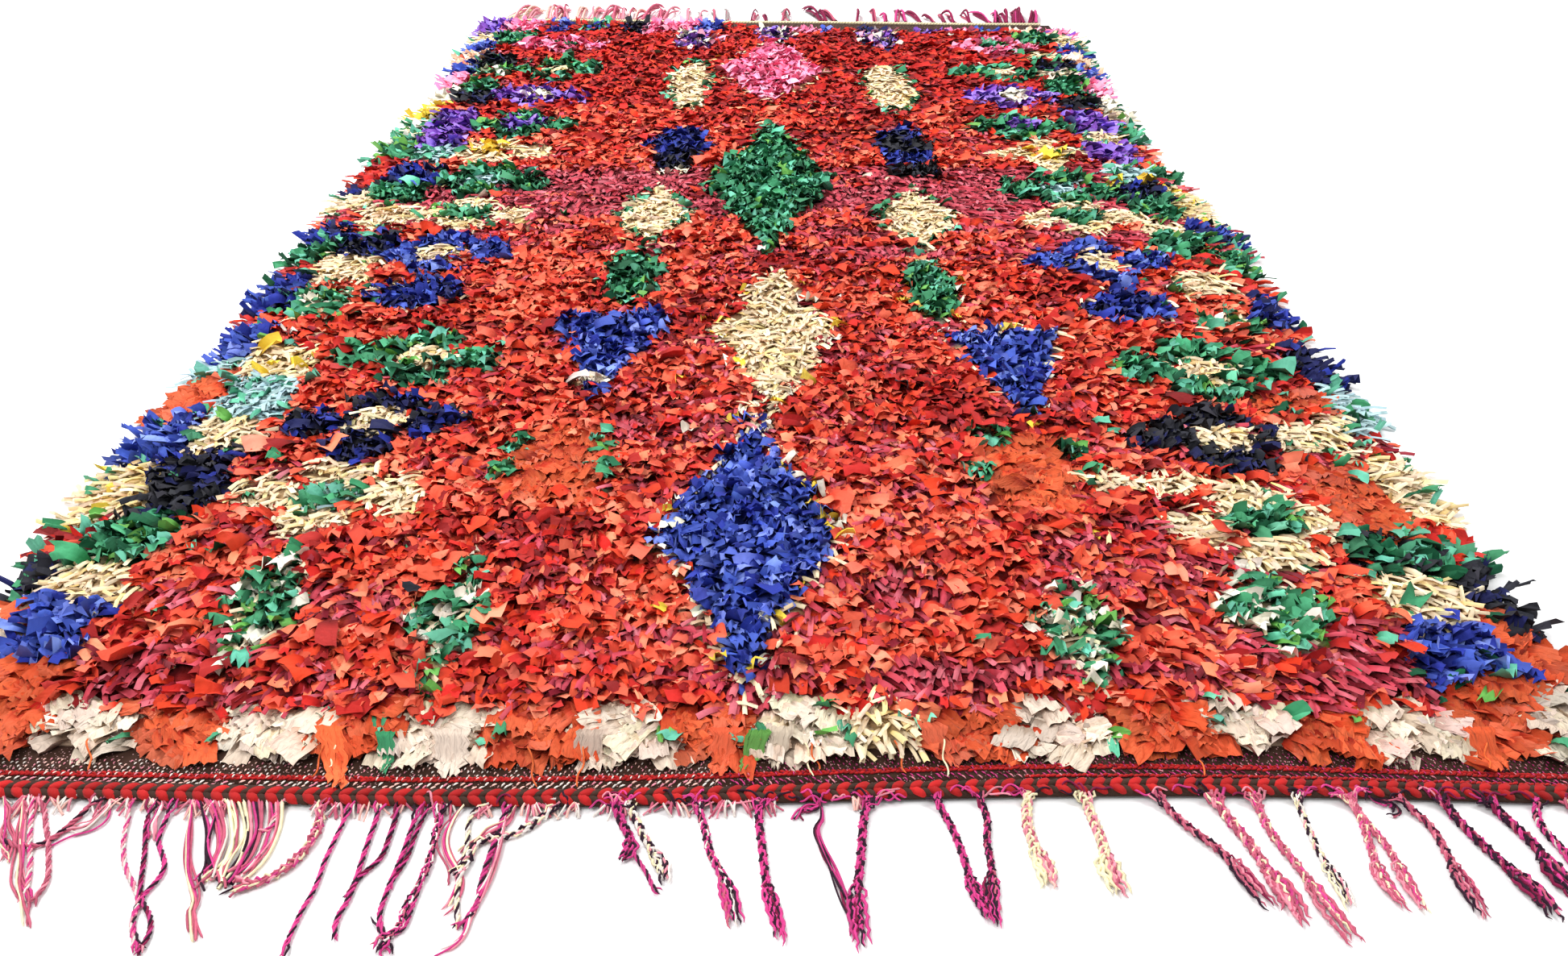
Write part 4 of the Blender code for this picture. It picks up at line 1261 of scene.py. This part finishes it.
def hanging_threads(draw):
    """Ravelled threads of the near row's cloth that lie over the band."""
    count = len(THREAD_ROOTS)
    share = steps(12)
    across = np.array(THREAD_ROOTS)[:, None, None] + per_strand(draw, count, -0.008, 0.014) * share
    across = across + 0.0015 * np.sin(TAU * (share * 1.3 + per_strand(draw, count)))
    inward = 0.058 - per_strand(draw, count, 0.018, 0.040) * share
    level = 0.0165 - 0.0075 * smooth(share * 1.8) + 0.0010 * np.sin(TAU * share * 2)
    paths = spots(across, near_end(across) + inward, level)[:, :, 0]
    radii = np.full(paths.shape[:2], 0.0009)
    radii[:, -1] *= 0.3
    return dyed(tubes(paths, radii, 4, 66), draw.choice(["orange", "orange", "orange", "cream"], count), draw)


def add_twined_edge():
    """The near edge's chevrons of red and brown wool, over a rounded brown bar."""
    draw = np.random.default_rng(71)
    x = np.arange(CHEVRONS_FROM, CHEVRONS_TO, CHEVRON_PAIR / 2)
    x = x + draw.normal(0, 0.0005, len(x))
    names = np.where(np.arange(len(x)) % 2 == 0, "red", "brown")
    proud = np.where(names == "red", 1.0, 0.0)
    shift = np.interp(x, *CHEVRON_SHIFT)
    stacks = []
    for number, (root_in, tip_in, low) in enumerate(CHEVRON_ROWS):
        start = spots(x, near_end(x) + root_in + shift, 0.0062 + 0.0008 * proud)
        tip_x = x + CHEVRON_PAIR * 0.88 + draw.normal(0, 0.0007, len(x))
        finish = spots(tip_x, near_end(tip_x) + tip_in + shift, low + 0.0010 * proud)
        for name, width in (("red", LEAF_WIDTH * 1.16), ("brown", LEAF_WIDTH)):
            own = names == name
            yarns = leaves(start[own], finish[own], width, width * 0.70, 0.0012, 6, 6, 72 + number)
            stacks.append(dyed(yarns, names[own], draw, 0.14))
    across = np.linspace(-TWINE_REACH, TWINE_REACH, 220)
    thick = np.full((1, len(across)), TWINE_DEPTH / 2)
    thick[:, [0, -1]] = 0.002
    bar, place = tubes(spots(across, near_end(across) + TWINE_DEPTH / 2, TWINE_LEVEL)[None], thick, 10, 74)
    bar[..., 2] = 0.0040 + (bar[..., 2] - TWINE_LEVEL) * 0.34
    stacks.append(dyed((bar, place), ["brown"], draw))
    made = add_grids("twined_chevrons", stacks, YARN, wrap=True)
    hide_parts("twined_edge")
    return made


def at_places(path, along, wanted):
    """Points of a path at other places along it."""
    return np.stack([np.interp(wanted, along, path[:, axis]) for axis in range(3)], -1)


def lock_path(places, count):
    """An evenly paced smooth path on the floor through some places, its sideways direction and its length."""
    stops = np.array([[*place, 0.0] for place in places])
    stops = np.concatenate([2 * stops[:1] - stops[1:2], stops, 2 * stops[-1:] - stops[-2:-1]])
    turn = np.linspace(0, len(places) - 1 - TINY, 3 * count)
    first, part = turn.astype(int), (turn % 1)[:, None]
    a, b, c, d = (stops[first + step] for step in range(4))
    path = b + 0.5 * part * (c - a + part * (2 * a - 5 * b + 4 * c - d + part * (3 * b - a - 3 * c + d)))
    gone = np.concatenate([[0], np.cumsum(np.linalg.norm(np.diff(path, axis=0), axis=-1))])
    path = at_places(path, gone, np.linspace(0, gone[-1], count))
    ahead = np.gradient(path, axis=0)
    side = np.cross(ahead / np.linalg.norm(ahead, axis=-1, keepdims=True), UP)
    return path, side, np.linspace(0, 1, count)[:, None], gone[-1]


def near_lock(places, width, lay, draw):
    """Yarn paths and radii of one lock: a braid, a tassel on a short braid, a twist or loose ends."""
    lock, count = lock_path(places, NEAR_YARN_POINTS), YARN_COUNTS[lay]
    share = lock[2]
    shaky = 0.5 * width * np.sin(TAU * (share * draw.uniform(1.0, 1.8) + draw.uniform(0, 1))) * share
    rest = 0.0042 + 0.0035 * (1 - smooth(share / 0.18))
    if lay in TAILS:
        yarns = [braid_yarn(lock, width, TAILS[lay], yarn, shaky, rest, draw) for yarn in range(count)]
    elif lay == "twist":
        yarns = [twist_yarn(lock, width, ply, shaky, rest, draw) for ply in range(count)]
    else:
        yarns = [loose_yarn(lock, width, draw) for _ in range(count)]
    paths, radii = zip(*yarns)
    return np.array(paths), np.array(radii)


def braid_yarn(lock, width, tail_from, yarn, shaky, rest, draw):
    """One yarn of a three-strand braid, which opens into a tail past a share of the length."""
    path, side, share, length = lock
    tail = np.clip((share - tail_from) / (1 - tail_from), 0, 1)
    fan = smooth(tail / 0.45)
    gather = 1 - smooth(share / 0.12)
    strand, ply = yarn % 3, yarn // 3
    phase = TAU * (share * length / BRAID_PITCH + strand / 3)
    aside, lift = width * 0.30 * np.sin(phase), width * 0.17 * np.sin(2 * phase)
    ring = TAU * (share * length / PLY_PITCH + ply / 3 + strand / 5)
    bulge = 0.72 * ((4 * yarn) % 9 / 4 - 1) + 0.15 * draw.uniform(-1, 1)
    apart = bulge * np.sin(math.pi * np.minimum(tail / 0.8, 1) ** 0.6 * 0.72)
    apart = apart + draw.uniform(-1, 1) * 0.45 * tail**2
    offset = aside * (1 - fan) + width * (0.12 * np.sin(ring) + apart + 0.8 * gather * draw.uniform(-1, 1))
    lifted = (lift + width * 0.12 * np.cos(ring)) * (1 - 0.6 * fan)
    back = (share - tail * draw.uniform(0, 0.34) * (1 - tail_from))[:, 0]
    own = at_places(path, share[:, 0], back)
    taper = 1 - 0.5 * smooth((tail[:, 0] - 0.7) / 0.3)
    radii = width * (0.125 + 0.055 * fan[:, 0]) * taper
    return own + side * (offset + shaky * 0.4) + UP * (rest + lifted), radii


def twist_yarn(lock, width, ply, shaky, rest, draw):
    """One of the three yarns of a twist, a little apart at its root and tip."""
    path, side, share, length = lock
    ring = TAU * (share * length / (PLY_PITCH * 1.3) + ply / 3)
    fan = smooth((share - 0.88) / 0.12) * draw.uniform(-1, 1) * width
    gather = (1 - smooth(share / 0.14)) * draw.uniform(-1, 1) * width * 0.9
    offset = width * 0.24 * np.sin(ring) + fan + gather + shaky * 0.5
    lifted = UP * (rest - 0.0012 + width * 0.22 * np.cos(ring))
    return path + side * offset + lifted, np.full(len(path), width * 0.20)


def loose_yarn(lock, width, draw):
    """One loose warp end, with a wave and a length of its own."""
    path, side, share, _ = lock
    wave = np.sin(TAU * (share * draw.uniform(1.2, 2.6) + draw.uniform(0, 1))) * draw.uniform(0.1, 0.4)
    apart = draw.uniform(-1, 1) * (0.4 + draw.uniform(-0.4, 0.8) * share)
    own = at_places(path, share[:, 0], share[:, 0] * draw.uniform(0.70, 1.03))
    lift = 0.0016 + draw.uniform(0, 0.005) * np.sin(math.pi * share) + 0.004 * (1 - smooth(share / 0.2))
    made = own + side * width * (apart * smooth(share * 3) + wave * share) + UP * lift
    return made, np.full(len(path), 0.0010) * draw.uniform(0.8, 1.2)


def warp_curtain(draw):
    """Warp ends that hang side by side from the left of the edge and gather into one tangle."""
    count = CURTAIN_COUNT
    across = np.linspace(0, 1, count) + draw.normal(0, 0.02, count)
    share = steps(16)
    x = CURTAIN[0] + (CURTAIN[1] - CURTAIN[0]) * across
    root = spots(x, near_end(x) + ROOT_IN, 0)[:, None]
    tangle_y = TANGLE[1] + draw.normal(0, 0.006, count)
    tangle = spots(TANGLE[0] + TANGLE_WIDTH * across, tangle_y, 0)[:, None]
    bulge = spots(0.010, draw.normal(0, 0.004, count), 0)[:, None]
    paths = root + (tangle - root) * share + bulge * np.sin(math.pi * share)
    wave = np.sin(TAU * (share * per_strand(draw, count, 1.0, 2.4) + per_strand(draw, count)))
    curl = per_strand(draw, count, -1, 1) * smooth((share - 0.8) / 0.2)
    paths = paths + np.array([1.0, 0, 0]) * (0.0016 * wave * share + 0.012 * curl)
    level = 0.0064 - 0.0048 * smooth(share * 3) + 0.004 * per_strand(draw, count) * share
    radii = np.full((count, 16), 0.0013) * draw.uniform(0.8, 1.3, (count, 1))
    names = draw.choice(["dusty"] * 5 + ["rosy", "rosy", "cream", "magenta", "black", "white"], count)
    return dyed(tubes(paths + UP * level, radii, 4, 93), names, draw)


def add_near_fringe():
    """Braids, twists and loose warp ends on the floor beyond the near edge."""
    draw = np.random.default_rng(81)
    stacks = []
    for number, (lay, yarns, width, root_x, *places) in enumerate(NEAR_LOCKS):
        root = (root_x / 1000, near_end(root_x / 1000) + ROOT_IN)
        paths, radii = near_lock([root, *np.array(places) / 1000], width / 1000, lay, draw)
        radii[:, -1] *= 0.3
        names = [YARN_SETS[yarns][yarn % 6] for yarn in range(len(paths))]
        stacks.append(dyed(tubes(paths, radii, 4, 100 + number), names, draw))
    stacks += [warp_curtain(draw), warp_stubs(draw), warp_wraps(draw)]
    made = add_grids("braided_fringe", stacks, YARN, wrap=True)
    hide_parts("near_fringe")
    return made


def warp_stubs(draw):
    """Short loops of warp that hang out all along the near edge's left half."""
    count = STUB_COUNT
    clumps = -0.755 + 0.86 * draw.uniform(0, 1, count // 4) ** 1.3
    x = np.clip(np.sort(draw.choice(clumps, count) + draw.normal(0, 0.003, count)), *STUB_REACH)
    share = steps(8)
    turn = np.radians(draw.uniform(-145, -35, count))
    length = (draw.uniform(0.006, 0.018, count) + 0.016 * np.clip(-x - 0.25, 0, 0.5))[:, None, None]
    aim = spots(np.cos(turn), np.sin(turn), 0)[:, None]
    root = spots(x, near_end(x) + 0.003, 0.0062)[:, None]
    curl = per_strand(draw, count, -0.5, 0.5)
    paths = root + aim * length * share + np.cross(aim, UP) * length * curl * share**2
    paths = paths + UP * (0.0014 * np.sin(math.pi * share) - 0.0046 * share)
    radii = np.full((count, 8), 0.0011) * draw.uniform(0.8, 1.25, (count, 1))
    names = draw.choice(["rosy", "dusty", "white", "blush", "dusty"], count)
    return dyed(tubes(paths, radii, 4, 91), names, draw)


def warp_wraps(draw):
    """Threads of warp that grip the twined edge above the braids' roots, most of them on the right half."""
    roots = np.array([root_x for _, _, _, root_x, *_ in NEAR_LOCKS]) / 1000
    by_braids = draw.choice(roots[roots > -0.15], WRAP_COUNT * 3 // 4)
    x = np.concatenate([by_braids, draw.uniform(-0.3, 0.74, WRAP_COUNT // 4)])
    count = len(x)
    x = x + draw.normal(0, 0.003, count)
    share = steps(12)
    run = (draw.choice([-1, 1], count) * draw.uniform(0.006, 0.024, count))[:, None, None]
    climb = per_strand(draw, count, 0.002, 0.013)
    across = np.clip(x[:, None, None] + run * share, -WRAP_REACH, WRAP_REACH)
    wave = np.sin(TAU * (share * per_strand(draw, count, 0.6, 1.6) + per_strand(draw, count)))
    along = -0.001 + climb * np.sin(share * per_strand(draw, count, 1.4, 2.8)) + 0.0014 * wave
    level = 0.0100 - 0.0055 * smooth((0.006 - along) / 0.010)
    paths = spots(across, near_end(across) + along, level)[:, :, 0]
    radii = np.full(paths.shape[:2], 0.0011)
    radii[:, [0, -1]] *= 0.4
    names = draw.choice(["magenta", "magenta", "dark_magenta", "black", "rosy"], count)
    return dyed(tubes(paths, radii, 4, 92), names, draw)


def add_far_end():
    """The far end's cord, and the warp ends beyond it."""
    draw = np.random.default_rng(95)
    return add_far_cord(draw), add_far_fringe(draw)


def add_far_cord(draw):
    """The pale cord of the far end, twisted from two yarns."""
    across = np.linspace(-FAR_CORD_REACH, FAR_CORD_REACH, 420)
    stacks = []
    for ply in range(2):
        ring = TAU * (across / FAR_CORD_PITCH + ply / 2)
        along = far_end(across) - 0.0045 + FAR_CORD_RADIUS * 0.8 * np.sin(ring)
        path = spots(across, along, 0.0050 + FAR_CORD_RADIUS * 0.7 * np.cos(ring))[None]
        radii = np.full((1, len(across)), FAR_CORD_RADIUS)
        radii[:, [0, -1]] = 0.0005
        stacks.append(dyed(tubes(path, radii, 6, 96 + ply), ["cream"], draw))
    cord = add_grids("far_end_cord", stacks, YARN, wrap=True)
    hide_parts("far_cord")
    return cord


def add_far_fringe(draw):
    """Clumps of loose warp ends that lean and lie on the floor beyond the cord."""
    stacks = []
    share = steps(9)
    for left, right, clumps, strands, yarns, lean in FAR_LOCKS:
        count = clumps * strands
        middle = left + (right - left) * (np.arange(clumps) + draw.uniform(0.2, 0.8, clumps)) / clumps
        tilt = np.repeat(lean + draw.normal(0, 0.12, clumps), strands)[:, None, None]
        x = np.repeat(middle, strands) + draw.normal(0, 0.003, count)
        reach = np.repeat(draw.uniform(*FAR_LOCK_REACH, clumps), strands)[:, None, None]
        reach = reach * per_strand(draw, count, 0.8, 1.0)
        bow = draw.normal(0, 0.006, (count, 1, 1)) * share**2
        wave = np.sin(TAU * (share + per_strand(draw, count)))
        sway = reach * tilt * share + bow + 0.003 * wave * share
        arch = per_strand(draw, count, 0, 0.026) * np.sin(math.pi * share)
        lift = 0.0036 + 0.004 * (1 - smooth(share * 6)) + arch
        root = spots(x, far_end(x) - ROOT_IN, 0)[:, None]
        paths = root + spots(sway, reach * share, lift)[:, :, 0]
        paths[..., 0] = np.clip(paths[..., 0], -FAR_LOCK_LIMIT, FAR_LOCK_LIMIT)
        radii = np.full((count, 9), 0.0034) * draw.uniform(0.7, 1.2, (count, 1))
        radii[:, -1] *= 0.4
        stacks.append(dyed(tubes(paths, radii, 4, 98), draw.choice(yarns, count), draw))
    fringe = add_grids("far_end_fringe", stacks, YARN, wrap=True)
    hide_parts("far_fringe")
    return fringe


camera()
lights()
floor()
YARN = cloth_material("wool_yarn", 0.90, 0.06, (0.004, 0.0006), (0.0016, 0.0005))
add_rags()
add_bed()
ground = add_ground()
on_ground = [add_near_band(), add_twined_edge(), add_near_fringe(), *add_far_end()]
